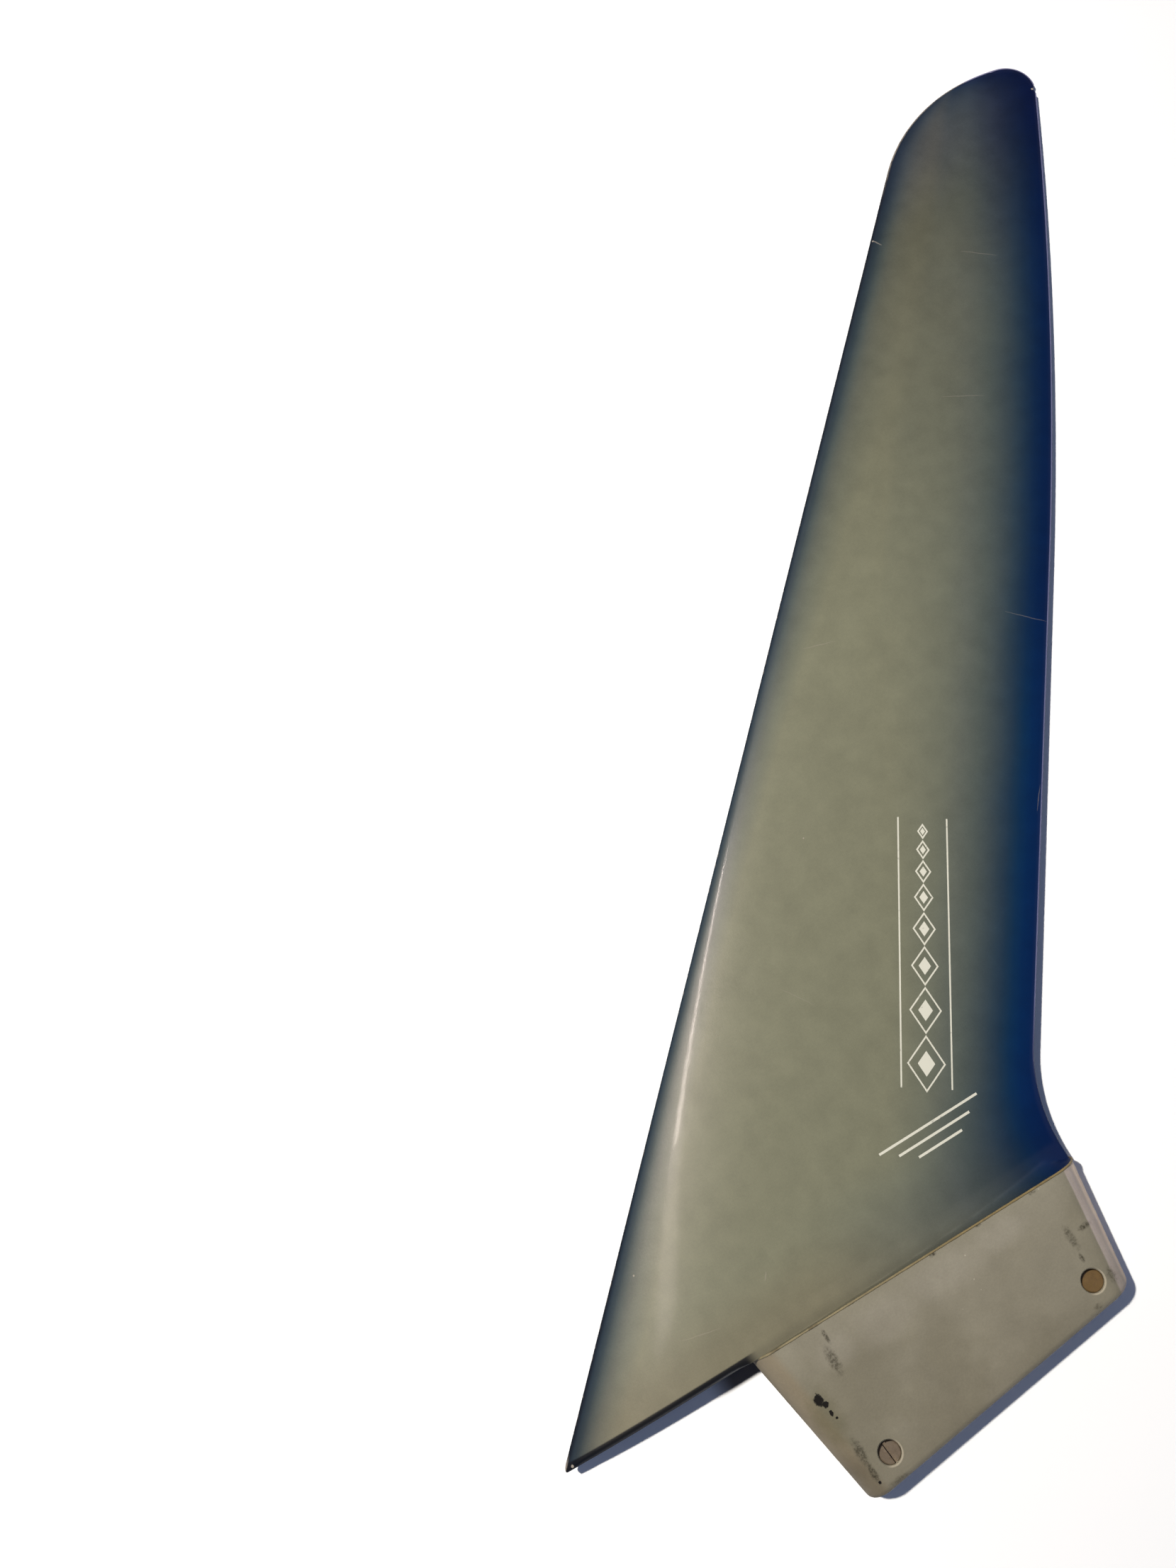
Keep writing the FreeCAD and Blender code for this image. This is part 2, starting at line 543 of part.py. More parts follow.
def make_nut(name, along, slot_up):
    body = new_body(name)
    round_profile = new_sketch(body, f"{name}_round", "XY_Plane")
    circles_profile(round_profile, "Sizes.nut_diameter", [("0", "0")])
    barrel = pad(body, f"{name}_barrel", round_profile, NUT_LENGTH, midplane=True)
    bevel = body.newObject("PartDesign::Chamfer", f"{name}_bevel")
    bevel.Base = (barrel, edge_names(barrel.Shape, lambda edge: edge.BoundBox.ZLength < 1e-4))
    bevel.setExpression("Size", "Sizes.nut_chamfer")
    doc.recompute()
    tapping = new_sketch(body, f"{name}_tapping", "XZ_Plane")
    circles_profile(tapping, "Sizes.thread_diameter", [("0", "0")])
    cut(body, f"{name}_thread", tapping)
    slot = new_sketch(body, f"{name}_slot_profile", "XY_Plane")
    slot.setExpression("AttachmentOffset.Base.z", f"{'' if slot_up else '-'}{NUT_LENGTH} / 2")
    box_profile(slot, "-Sizes.slot_width / 2", "Sizes.slot_width / 2", "-Sizes.nut_diameter",
                "Sizes.nut_diameter")
    cut(body, f"{name}_slot", slot, "Sizes.slot_depth", backward=not slot_up)

    body.Placement = FreeCAD.Placement(Vector(), FreeCAD.Rotation(Vector(0, 0, 1), 1))
    body.setExpression("Placement.Base.x", f"({along}) * cos(Sizes.deep_slope)"
                                           " - Sizes.nut_inset * sin(Sizes.deep_slope)")
    body.setExpression("Placement.Base.y", f"-Sizes.plug_depth + ({along}) * sin(Sizes.deep_slope)"
                                           " + Sizes.nut_inset * cos(Sizes.deep_slope)")
    body.setExpression("Placement.Rotation.Angle", "Sizes.deep_slope")
    doc.recompute()
    return body


pieces = [make_blade(), make_plug()]
pieces += [make_nut(name, along, slot_up=name.endswith("front")) for name, along in NUT_PLACES.items()]
doc.recompute()

for thing in doc.Objects:
    if "Invalid" in thing.State or "Error" in thing.State:
        raise RuntimeError(f"{thing.Name} failed: {thing.State}")

os.makedirs("parts", exist_ok=True)
for piece in pieces:
    if piece.Shape.isNull() or not piece.Shape.isValid() or len(piece.Shape.Solids) != 1:
        raise RuntimeError(f"{piece.Label} has no sound single solid")
    piece.Shape.exportStep(f"parts/{piece.Label}.step")
    box = piece.Shape.BoundBox
    print(f"{piece.Label}: {piece.Shape.Volume / 1000:.1f} cm3, x {box.XMin:.2f}..{box.XMax:.2f},"
          f" y {box.YMin:.2f}..{box.YMax:.2f}, z {box.ZMin:.2f}..{box.ZMax:.2f}")
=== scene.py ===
import functools
import math
from types import SimpleNamespace

import bmesh
import bpy
from mathutils import Matrix, Vector


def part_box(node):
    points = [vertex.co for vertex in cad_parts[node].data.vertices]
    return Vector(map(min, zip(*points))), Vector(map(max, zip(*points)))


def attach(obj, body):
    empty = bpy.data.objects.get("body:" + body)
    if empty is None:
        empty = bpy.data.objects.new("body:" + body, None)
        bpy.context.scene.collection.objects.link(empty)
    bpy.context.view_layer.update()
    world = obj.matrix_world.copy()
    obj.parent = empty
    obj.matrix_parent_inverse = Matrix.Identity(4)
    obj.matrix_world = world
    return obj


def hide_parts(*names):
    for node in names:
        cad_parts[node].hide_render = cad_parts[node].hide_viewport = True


bl_info = {
    "name": "Weed Fin",
    "version": (1, 0, 0),
    "blender": (4, 5, 0),
    "location": "3D Viewport > Sidebar > Fin",
    "description": "Builds the looks of a sailboard's fin around its packed solids",
    "category": "Object",
}

MM = 0.001

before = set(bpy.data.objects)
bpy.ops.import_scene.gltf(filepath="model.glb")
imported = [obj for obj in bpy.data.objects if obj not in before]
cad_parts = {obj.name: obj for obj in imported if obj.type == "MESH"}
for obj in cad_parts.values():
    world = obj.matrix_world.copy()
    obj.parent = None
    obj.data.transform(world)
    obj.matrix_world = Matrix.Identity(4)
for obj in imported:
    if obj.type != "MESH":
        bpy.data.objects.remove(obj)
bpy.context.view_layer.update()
NUTS = ("barrel_nut_front", "barrel_nut_rear")


def shade(red, green, blue):
    """A colour given as it looks on a screen, 0 to 255, turned into the linear one that a shader takes."""
    return tuple((level / 255 / 12.92) if level <= 10 else ((level / 255 + 0.055) / 1.055) ** 2.4
                 for level in (red, green, blue))


# Sizes and colours that a user may change


def length(name, default, description):
    return bpy.props.FloatProperty(name=name, description=description, default=default,
                                   unit="LENGTH", precision=4)


def angle(name, degrees, description):
    return bpy.props.FloatProperty(name=name, description=description,
                                   default=math.radians(degrees), subtype="ANGLE")


def share(name, default, description):
    return bpy.props.FloatProperty(name=name, description=description, default=default,
                                   min=0, max=1)


def colour(name, default, description):
    return bpy.props.FloatVectorProperty(name=name, description=description, subtype="COLOR",
                                         default=default, min=0, max=1)


class BladeSizes(bpy.types.PropertyGroup):
    """Sizes of the foiled blade"""

    span: length("Span", 0.4058, "Base to the highest point of the tip")
    overhang: length("Overhang", 0.0775, "Blade's foot ahead of the plug")
    lead_sweep: angle("Lead sweep", 45.5, "Leading edge, away from the span direction")
    trail_sweep: angle("Trail sweep", 37, "Straight trailing edge, away from the span direction")
    trail_inset: length("Trail inset", 0.0177, "Plug's rear end to the straight trailing edge's line")
    trail_margin: length("Trail margin", 0.0003, "Plug's rear end to the trailing edge's foot")
    flare_radius: length("Flare radius", 0.06, "Hollow curve at the trailing edge's foot")
    bow_start: length("Bow start", 0.194, "Height where the trailing edge starts to bow")
    bow_radius: length("Bow radius", 1.99, "Bowed upper part of the trailing edge")
    tip_radius: length("Tip radius", 0.0735, "Large curve over the tip")
    corner_radius: length("Corner radius", 0.0133, "Small curve from the tip into the trailing edge")
    fullness: share("Fullness", 0.35, "Share of the chord ahead of the thickest point")
    root_thickness: length("Root thickness", 0.0155, "Thickest point of the foil at the base")
    tip_fineness: share("Tip fineness", 0.05, "Thickness over chord at the tip")
    edge_thickness: length("Edge thickness", 0.0012, "Blunt trailing edge")
    edge_share: share("Edge share", 0.4, "Largest trailing edge as a share of the thickness")
    plug_length: length("Plug length", 0.1375, "Plug at the base, front end to rear end")
    plug_thickness: length("Plug thickness", 0.0185, "Plug at the base, side to side")
    cove_height: length("Cove height", 0.007, "Hollow fillet between the foil and the plug's edge")
    land_depth: length("Land depth", 0.0005, "Laminate below the base, over the cast plug")
    arris: length("Arris", 0.0022, "Rounding of the overhang's base edge")
    foot_round: length("Foot rounding", 0.0025, "Rounding of the blade's front foot")
    lip_round: length("Lip rounding", 0.0005, "Rounding of the blunt trailing edge")
    nick_height: length("Nick height", 0.3853, "Height of the chipped spot in the trailing edge")
    nick_depth: length("Nick depth", 0.0011, "Depth of the chipped spot")


class HeadSizes(bpy.types.PropertyGroup):
    """Sizes of the cast plug"""

    depth: length("Depth", 0.0523, "Base to the deep end on the centre line")
    deep_slope: angle("Deep slope", 7, "Deep end, deeper at the front")
    front_lean: angle("Front lean", 10.8, "Lean of the round front end's axis")
    rear_lean: angle("Rear lean", 8.3, "Lean of the round rear end's axis")
    side_taper: angle("Side taper", 1.2, "Lean of each side")
    rim_radius: length("Rim radius", 0.0025, "Rounding round the deep end")
    hole_radius: length("Hole radius", 0.0041, "Cross holes for the barrel nuts")
    hole_bevel: length("Hole bevel", 0.00035, "Worn edge of the cross holes")
    bore_radius: length("Bore radius", 0.0035, "Holes for the bolts")
    bore_depth: length("Bore depth", 0.02, "Deep end to the bottom of a bolt hole")
    bead_radius: length("Bead radius", 0.00042, "Line of squeezed-out resin round the seam")


class Finish(bpy.types.PropertyGroup):
    """Colours of the fin"""

    navy: colour("Navy", shade(2, 22, 60), "Thin trailing edge of the laminate")
    teal: colour("Dark teal", shade(8, 13, 20), "Thin leading edge of the laminate")
    core: colour("Khaki", shade(124, 124, 103), "Thick middle of the laminate")
    printed: colour("Print", shade(222, 220, 205), "Printed lozenges on the blade")
    worn: colour("Worn edge", shade(168, 158, 146), "Bare glass on the worn rim")
    resin: colour("Cast resin", shade(130, 125, 109), "Plug")
    # The rear end's colour is partly rubbed wear and partly a painted reflection of the pale table
    lilac_wear_and_reflection: colour("Plug's rear end", shade(180, 167, 160), "Rubbed rear end of the plug")
    bead: colour("Bead", shade(128, 112, 76), "Squeezed-out resin round the seam")
    front_nut: colour("Front nut", shade(132, 118, 100), "Dull brass of the front nut")
    rear_nut: colour("Rear nut", shade(128, 103, 66), "Tarnished brass of the rear nut")


class StageSettings(bpy.types.PropertyGroup):
    """Camera, lamps and table"""

    camera: bpy.props.FloatVectorProperty(
        name="Camera", description="Where the camera stands", subtype="TRANSLATION",
        default=(-0.0405, 0.10738, 0.46029))
    lens: bpy.props.FloatProperty(name="Lens", description="Focal length", default=27.03,
                                  unit="CAMERA")
    key_power: bpy.props.FloatProperty(name="Key power", description="Main lamp", default=28.0,
                                       unit="POWER")
    strip_power: bpy.props.FloatProperty(name="Strip power", description="Long thin lamps",
                                         default=9.5, unit="POWER")
    table: colour("Table", shade(254, 254, 254), "Table top")


# Node trees are written as arithmetic on fields

NUMBER = "NodeSocketFloat"
VECTOR = "NodeSocketVector"
MATERIAL = "NodeSocketMaterial"
GEOMETRY = "NodeSocketGeometry"


def feed(tree, slot, term):
    """Links a field or socket to an input, or sets the input's own value."""
    if isinstance(term, Field):
        term = term.source
    if isinstance(term, bpy.types.NodeSocket):
        tree.links.new(term, slot)
    else:
        slot.default_value = term


def node(tree, kind, inputs=None, **settings):
    """Adds a node, sets its properties and feeds its inputs, which go by name or number."""
    made = tree.nodes.new(kind)
    for name, setting in settings.items():
        setattr(made, name, setting)
    for key, term in (inputs or {}).items():
        feed(tree, made.inputs[key], term)
    return made


def geometry_of(tree, kind, inputs=None, **settings):
    """Adds a geometry node, with kind the end of its type's name, and returns its first output."""
    return node(tree, f"GeometryNode{kind}", inputs, **settings).outputs[0]


def math_of(tree, operation, *terms):
    return Field(tree, node(tree, "ShaderNodeMath", dict(enumerate(terms)),
                            operation=operation).outputs[0])


def math_method(operation, swapped=False):
    """A method of Field that adds a Math node. swapped puts the other term first."""

    def method(self, other):
        terms = (other, self) if swapped else (self, other)
        return math_of(self.tree, operation, *terms)

    return method


class Field:
    """A number that varies over a surface. Arithmetic on it adds Math nodes to its tree."""

    def __init__(self, tree, source):
        self.tree = tree
        self.source = source

    __add__ = math_method("ADD")
    __radd__ = math_method("ADD", swapped=True)
    __sub__ = math_method("SUBTRACT")
    __rsub__ = math_method("SUBTRACT", swapped=True)
    __mul__ = math_method("MULTIPLY")
    __rmul__ = math_method("MULTIPLY", swapped=True)
    __truediv__ = math_method("DIVIDE")
    __rtruediv__ = math_method("DIVIDE", swapped=True)
    __lt__ = math_method("LESS_THAN")
    __gt__ = math_method("GREATER_THAN")

    def __neg__(self):
        return self * -1.0

    def __abs__(self):
        return math_of(self.tree, "ABSOLUTE", self)


def root(term):
    """Square root, and nought for anything below nought."""
    return math_of(term.tree, "SQRT", term)


def sine(term):
    return math_of(term.tree, "SINE", term)


def cosine(term):
    return math_of(term.tree, "COSINE", term)


def tangent(term):
    return math_of(term.tree, "TANGENT", term)


def least(first, second):
    return math_of(first.tree, "MINIMUM", first, second)


def most(first, second):
    return math_of(first.tree, "MAXIMUM", first, second)


def between(term, low, high):
    return least(most(term, low), high)


def clamped(term):
    """The term, held between 0 and 1."""
    return between(term, 0.0, 1.0)


def leg(longest, other):
    """A side of a right-angled triangle, from its longest side and the other one."""
    return root(longest * longest - other * other)


def hypotenuse(first, second):
    """The longest side of a right-angled triangle, from its two others."""
    return root(first * first + second * second)


def pick(test, yes, no):
    """yes where the test is 1, and no where it is 0."""
    return no + test * (yes - no)


def rise(term, low, high):
    """Smooth step from 0 at low to 1 at high. With low above high it falls instead."""
    made = node(term.tree, "ShaderNodeMapRange",
                {"Value": term, "From Min": low, "From Max": high},
                interpolation_type="SMOOTHSTEP")
    return Field(term.tree, made.outputs["Result"])


def vector_math(tree, operation, *terms):
    made = node(tree, "ShaderNodeVectorMath", dict(enumerate(terms)), operation=operation)
    scalar = operation in ("DOT_PRODUCT", "LENGTH", "DISTANCE")
    return Field(tree, made.outputs["Value"]) if scalar else made.outputs["Vector"]


def scaled(tree, vector, factor):
    return node(tree, "ShaderNodeVectorMath", {"Vector": vector, "Scale": factor},
                operation="SCALE").outputs["Vector"]


def parts_of(tree, vector):
    """The X, Y and Z of a vector as fields."""
    made = node(tree, "ShaderNodeSeparateXYZ", {"Vector": vector})
    return [Field(tree, socket) for socket in made.outputs]


def vector_of(tree, x, y, z):
    return node(tree, "ShaderNodeCombineXYZ", {"X": x, "Y": y, "Z": z}).outputs["Vector"]


def noise(tree, vector, size, detail=2.0, roughness=0.5):
    """Noise between 0 and 1 with lumps about as large as size."""
    made = node(tree, "ShaderNodeTexNoise",
                {"Vector": vector, "Scale": 1 / size, "Detail": detail, "Roughness": roughness})
    return Field(tree, made.outputs["Fac"])


def blend(tree, factor, first, second, kind="MIX"):
    """Mixes two colours, which are sockets or plain colours."""
    made = node(tree, "ShaderNodeMix", data_type="RGBA", blend_type=kind)
    feed(tree, made.inputs["Factor"], factor)
    for slot, term in ((made.inputs[6], first), (made.inputs[7], second)):
        feed(tree, slot, term if isinstance(term, bpy.types.NodeSocket) else (*term, 1))
    return made.outputs[2]


def ramp(factor, stops):
    """A colour for each value of factor. stops holds (value from 0 to 1, colour)."""
    made = node(factor.tree, "ShaderNodeValToRGB", {"Fac": factor})
    elements = made.color_ramp.elements
    elements.remove(elements[1])
    elements[0].position = stops[0][0]
    elements[0].color = (*stops[0][1], 1)
    for place, tint in stops[1:]:
        elements.new(place).color = (*tint, 1)
    return made.outputs["Color"]


def lay_out(tree):
    """Spreads the nodes of a finished tree over rows, so that it can be read in the editor."""
    for number, made in enumerate(tree.nodes):
        made.location = (200 * (number % 16), -320 * (number // 16))


def start_tree(name, kind, inputs=(), outputs=()):
    """A node tree with named sockets. Returns it, its inputs as attributes and its output node."""
    tree = bpy.data.node_groups.new(name, kind)
    for label, socket_type, default in inputs:
        socket = tree.interface.new_socket(name=label, in_out="INPUT", socket_type=socket_type)
        if default is not None:
            socket.default_value = default
    for label, socket_type in outputs:
        tree.interface.new_socket(name=label, in_out="OUTPUT", socket_type=socket_type)
    sockets = node(tree, "NodeGroupInput").outputs
    ask = SimpleNamespace()
    for label, socket_type, _ in inputs:
        socket = sockets[label]
        setattr(ask, label.lower().replace(" ", "_"),
                Field(tree, socket) if socket_type == NUMBER else socket)
    return tree, ask, node(tree, "NodeGroupOutput")


def numbers_of(settings):
    """Name and value of each plain number in a property group."""
    return {prop.name: getattr(settings, prop.identifier)
            for prop in settings.bl_rna.properties if prop.type == "FLOAT" and not prop.is_array}


def grow(name, tree, values):
    """Runs a geometry tree on an empty mesh, and keeps the result as a plain mesh object."""
    piece = bpy.data.objects.new(name, bpy.data.meshes.new(f"{name}_seed"))
    bpy.context.scene.collection.objects.link(piece)
    modifier = piece.modifiers.new(tree.name, "NODES")
    modifier.node_group = tree
    for item in tree.interface.items_tree:
        if item.in_out == "INPUT" and item.name in values:
            modifier[item.identifier] = values[item.name]
    depsgraph = bpy.context.evaluated_depsgraph_get()
    mesh = bpy.data.meshes.new_from_object(piece.evaluated_get(depsgraph), depsgraph=depsgraph)
    if not mesh.polygons:
        raise RuntimeError(f"{name} came out empty")
    piece.modifiers.clear()
    piece.data = mesh
    mesh.name = name
    return piece


# Effects that more than one material uses


def group_of(name, build, inputs, outputs):
    """Finds a shader node group by its name, or builds it once."""
    if name in bpy.data.node_groups:
        return bpy.data.node_groups[name]
    tree, ask, sink = start_tree(name, "ShaderNodeTree", inputs, outputs)
    for label, term in build(tree, ask).items():
        feed(tree, sink.inputs[label], term)
    lay_out(tree)
    return tree


def use(tree, group, **values):
    """Places a group in a material and returns its outputs as fields by name.

    Underscores in the keywords stand for spaces.
    """
    made = node(tree, "ShaderNodeGroup", node_tree=group)
    dress(tree, made, **values)
    return {socket.name: Field(tree, socket) for socket in made.outputs}


def scratch_group():
    """A straight mark between two points on the fin, thin at its ends and a little wavy."""

    def build(tree, ask):
        sway = node(tree, "ShaderNodeTexNoise", {"Vector": ask.position, "Scale": 260.0,
                                                 "Detail": 3.0}).outputs["Color"]
        sway = vector_math(tree, "SUBTRACT", sway, (0.5, 0.5, 0.5))
        place = vector_math(tree, "ADD", ask.position, scaled(tree, sway, ask.sway))
        place = vector_math(tree, "MULTIPLY", place, (1, 1, 0))
        run = vector_math(tree, "SUBTRACT", ask.end, ask.start)
        reach = vector_math(tree, "SUBTRACT", place, ask.start)
        along = (vector_math(tree, "DOT_PRODUCT", reach, run)
                 / vector_math(tree, "DOT_PRODUCT", run, run))
        along = clamped(along)
        away = vector_math(tree, "LENGTH",
                           vector_math(tree, "SUBTRACT", reach, scaled(tree, run, along)))
        middle = 2 * along - 1
        width = ask.width * (1 - 0.75 * middle * middle)
        return {"Mask": 1 - rise(away, 0.35 * width, width)}

    return group_of("Straight mark", build,
                    [("Position", VECTOR, None), ("Start", VECTOR, None), ("End", VECTOR, None),
                     ("Width", NUMBER, MM), ("Sway", NUMBER, MM)], [("Mask", NUMBER)])


def grain_group():
    """Fine and coarse mottling. Shade is near 1, and Height is for a Bump node."""

    def build(tree, ask):
        coarse = noise(tree, ask.position, ask.coarse, detail=3.0) - 0.5
        fine = noise(tree, ask.position, ask.fine, detail=4.0, roughness=0.65) - 0.5
        return {"Shade": 1 + ask.depth * (1.2 * coarse + fine), "Height": 0.7 * coarse + fine}

    return group_of("Mottling", build,
                    [("Position", VECTOR, None), ("Coarse", NUMBER, 20 * MM), ("Fine", NUMBER, MM),
                     ("Depth", NUMBER, 0.1)], [("Shade", NUMBER), ("Height", NUMBER)])


def blot_group():
    """A ragged spot round a point, such as a pit, a smear or a worn patch."""

    def build(tree, ask):
        ragged = noise(tree, ask.position, ask.grit, detail=4.0, roughness=0.7) - 0.5
        flat = vector_math(tree, "MULTIPLY", vector_math(tree, "SUBTRACT", ask.position,
                                                         ask.centre), ask.squeeze)
        away = vector_math(tree, "LENGTH", flat) / ask.radius + ask.raggedness * ragged
        return {"Mask": 1 - rise(away, 1 - ask.softness, 1 + ask.softness)}

    return group_of("Ragged spot", build,
                    [("Position", VECTOR, None), ("Centre", VECTOR, None),
                     ("Squeeze", VECTOR, None), ("Radius", NUMBER, MM), ("Grit", NUMBER, MM),
                     ("Raggedness", NUMBER, 1.0), ("Softness", NUMBER, 0.2)], [("Mask", NUMBER)])


def spots(tree, place, rows, grit, raggedness, softness):
    """A mask of ragged spots. A row is centre, radius in millimetres, squeeze and strength."""
    masks = 0.0
    for centre, radius, squeeze, level in rows:
        mark = use(tree, blot_group(), Position=place, Centre=(*centre, 0), Squeeze=(*squeeze, 0),
                   Radius=radius * MM, Grit=grit * MM, Raggedness=raggedness, Softness=softness)
        masks = most(level * mark["Mask"], masks)
    return masks


def start_material(name):
    """A material with an empty tree and its shader wired to the output."""
    material = bpy.data.materials.new(name)
    material.use_nodes = True
    tree = material.node_tree
    tree.nodes.clear()
    output = node(tree, "ShaderNodeOutputMaterial")
    shader = node(tree, "ShaderNodeBsdfPrincipled")
    tree.links.new(shader.outputs["BSDF"], output.inputs["Surface"])
    return material, tree, shader


def position_in(tree):
    """The place in the fin's frame, and its X, Y and Z as fields in millimetres."""
    place = node(tree, "ShaderNodeTexCoord").outputs["Object"]
    return place, *parts_of(tree, scaled(tree, place, 1 / MM))


def dress(tree, made, **values):
    """Feeds the inputs of a shader or group. Underscores in the keywords stand for spaces."""
    for key, term in values.items():
        feed(tree, made.inputs[key.replace("_", " ")], term)


def bump(tree, height, distance):
    """The normal of a surface whose height field is distance metres tall for each unit."""
    return node(tree, "ShaderNodeBump", {"Height": height, "Distance": distance,
                                         "Strength": 1.0}).outputs["Normal"]


def toned(tree, tint, level):
    """A colour made lighter or darker by a field near 1."""
    return node(tree, "ShaderNodeHueSaturation", {"Color": tint, "Value": level}).outputs["Color"]


def layered(tree, tint, *coats):
    """Lays coats over a colour in turn. Each is a mask, a colour and, if wanted, a blend type."""
    for mask, *coat in coats:
        tint = blend(tree, mask, tint, *coat)
    return tint


# Foiled blade


def tip_heights(ask):
    """Height of the tip curve's centre, and of the shoulder where the leading edge meets it."""
    tip_cy = ask.span - ask.tip_radius
    return tip_cy, tip_cy + ask.tip_radius * sine(ask.lead_sweep)


def blade_outline(ask, height):
    """The leading and trailing edge at a height, and the two centres round which the tip turns."""
    tip_cy, shoulder = tip_heights(ask)
    straight_lead = ask.foot_front + height * tangent(ask.lead_sweep)
    tip_cx = (ask.foot_front + shoulder * tangent(ask.lead_sweep)
              + ask.tip_radius * cosine(ask.lead_sweep))

    trail_tan = tangent(ask.trail_sweep)
    trail_base = ask.plug_length / 2 - ask.trail_inset
    foot_rear = ask.plug_length / 2 - ask.trail_margin
    flare_meet = (foot_rear - trail_base) / trail_tan
    flare_reach = ask.flare_radius * tangent(ask.trail_sweep / 2)
    flare_low = flare_meet - flare_reach
    flare_high = flare_meet + flare_reach * cosine(ask.trail_sweep)
    bow_cx = trail_base + ask.bow_start * trail_tan - ask.bow_radius * cosine(ask.trail_sweep)
    bow_cy = ask.bow_start + ask.bow_radius * sine(ask.trail_sweep)

    # The corner curve touches the bow and the tip curve from inside both
    gap_x = tip_cx - bow_cx
    gap_y = tip_cy - bow_cy
    gap = hypotenuse(gap_x, gap_y)
    bow_inner = ask.bow_radius - ask.corner_radius
    tip_inner = ask.tip_radius - ask.corner_radius
    along = (bow_inner * bow_inner - tip_inner * tip_inner + gap * gap) / (2 * gap)
    aside = leg(bow_inner, along)
    corner_cx = bow_cx + (along * gap_x - aside * gap_y) / gap
    corner_cy = bow_cy + (along * gap_y + aside * gap_x) / gap
    corner_low = bow_cy + (corner_cy - bow_cy) * ask.bow_radius / bow_inner
    corner_high = tip_cy + (corner_cy - tip_cy) * ask.tip_radius / tip_inner

    tip_reach = leg(ask.tip_radius, height - tip_cy)
    lead = pick(height < shoulder, straight_lead, tip_cx - tip_reach)
    flare = foot_rear + ask.flare_radius - leg(ask.flare_radius, height - flare_low)
    bow = bow_cx + leg(ask.bow_radius, height - bow_cy)
    corner = corner_cx + leg(ask.corner_radius, height - corner_cy)
    trail = pick(height < corner_high, corner, tip_cx + tip_reach)
    trail = pick(height < corner_low, bow, trail)
    trail = pick(height < ask.bow_start, trail_base + height * trail_tan, trail)
    trail = pick(height < flare_high, flare, trail)
    trail = pick(height < flare_low, foot_rear, trail)
    return lead, trail, (tip_cx, tip_cy), (corner_cx, corner_cy)


# Steps of the blade's grid, how far round the tip curve its last row stands, and the angle
# above which an edge stays sharp
COLUMNS = 84
COVE_ROWS = 14
MIDDLE_ROWS = 200
TIP_ROWS = 44
TIP_END = math.radians(88.6)
SHARP_FOIL = math.radians(40)


def plug_outline(tree, ask, count):
    """The plug's outline at the base: straight sides and round ends with count steps a corner."""
    outline = geometry_of(tree, "CurvePrimitiveQuadrilateral",
                          {"Width": ask.plug_length, "Height": ask.plug_thickness})
    return geometry_of(tree, "FilletCurve",
                       {"Curve": outline, "Count": count, "Radius": ask.plug_thickness / 2,
                        "Limit Radius": True}, mode="POLY")


def joined(tree, *geometries):
    """The geometries as one."""
    join = node(tree, "GeometryNodeJoinGeometry")
    for geometry in geometries:
        tree.links.new(geometry, join.inputs["Geometry"])
    return join.outputs["Geometry"]


def end_tree(tree, sink, geometry, material):
    """Ends a geometry tree with real meshes that carry their material."""
    real = geometry_of(tree, "RealizeInstances", {"Geometry": geometry})
    done = geometry_of(tree, "SetMaterial", {"Geometry": real, "Material": material})
    tree.links.new(done, sink.inputs["Geometry"])
    lay_out(tree)
    return tree


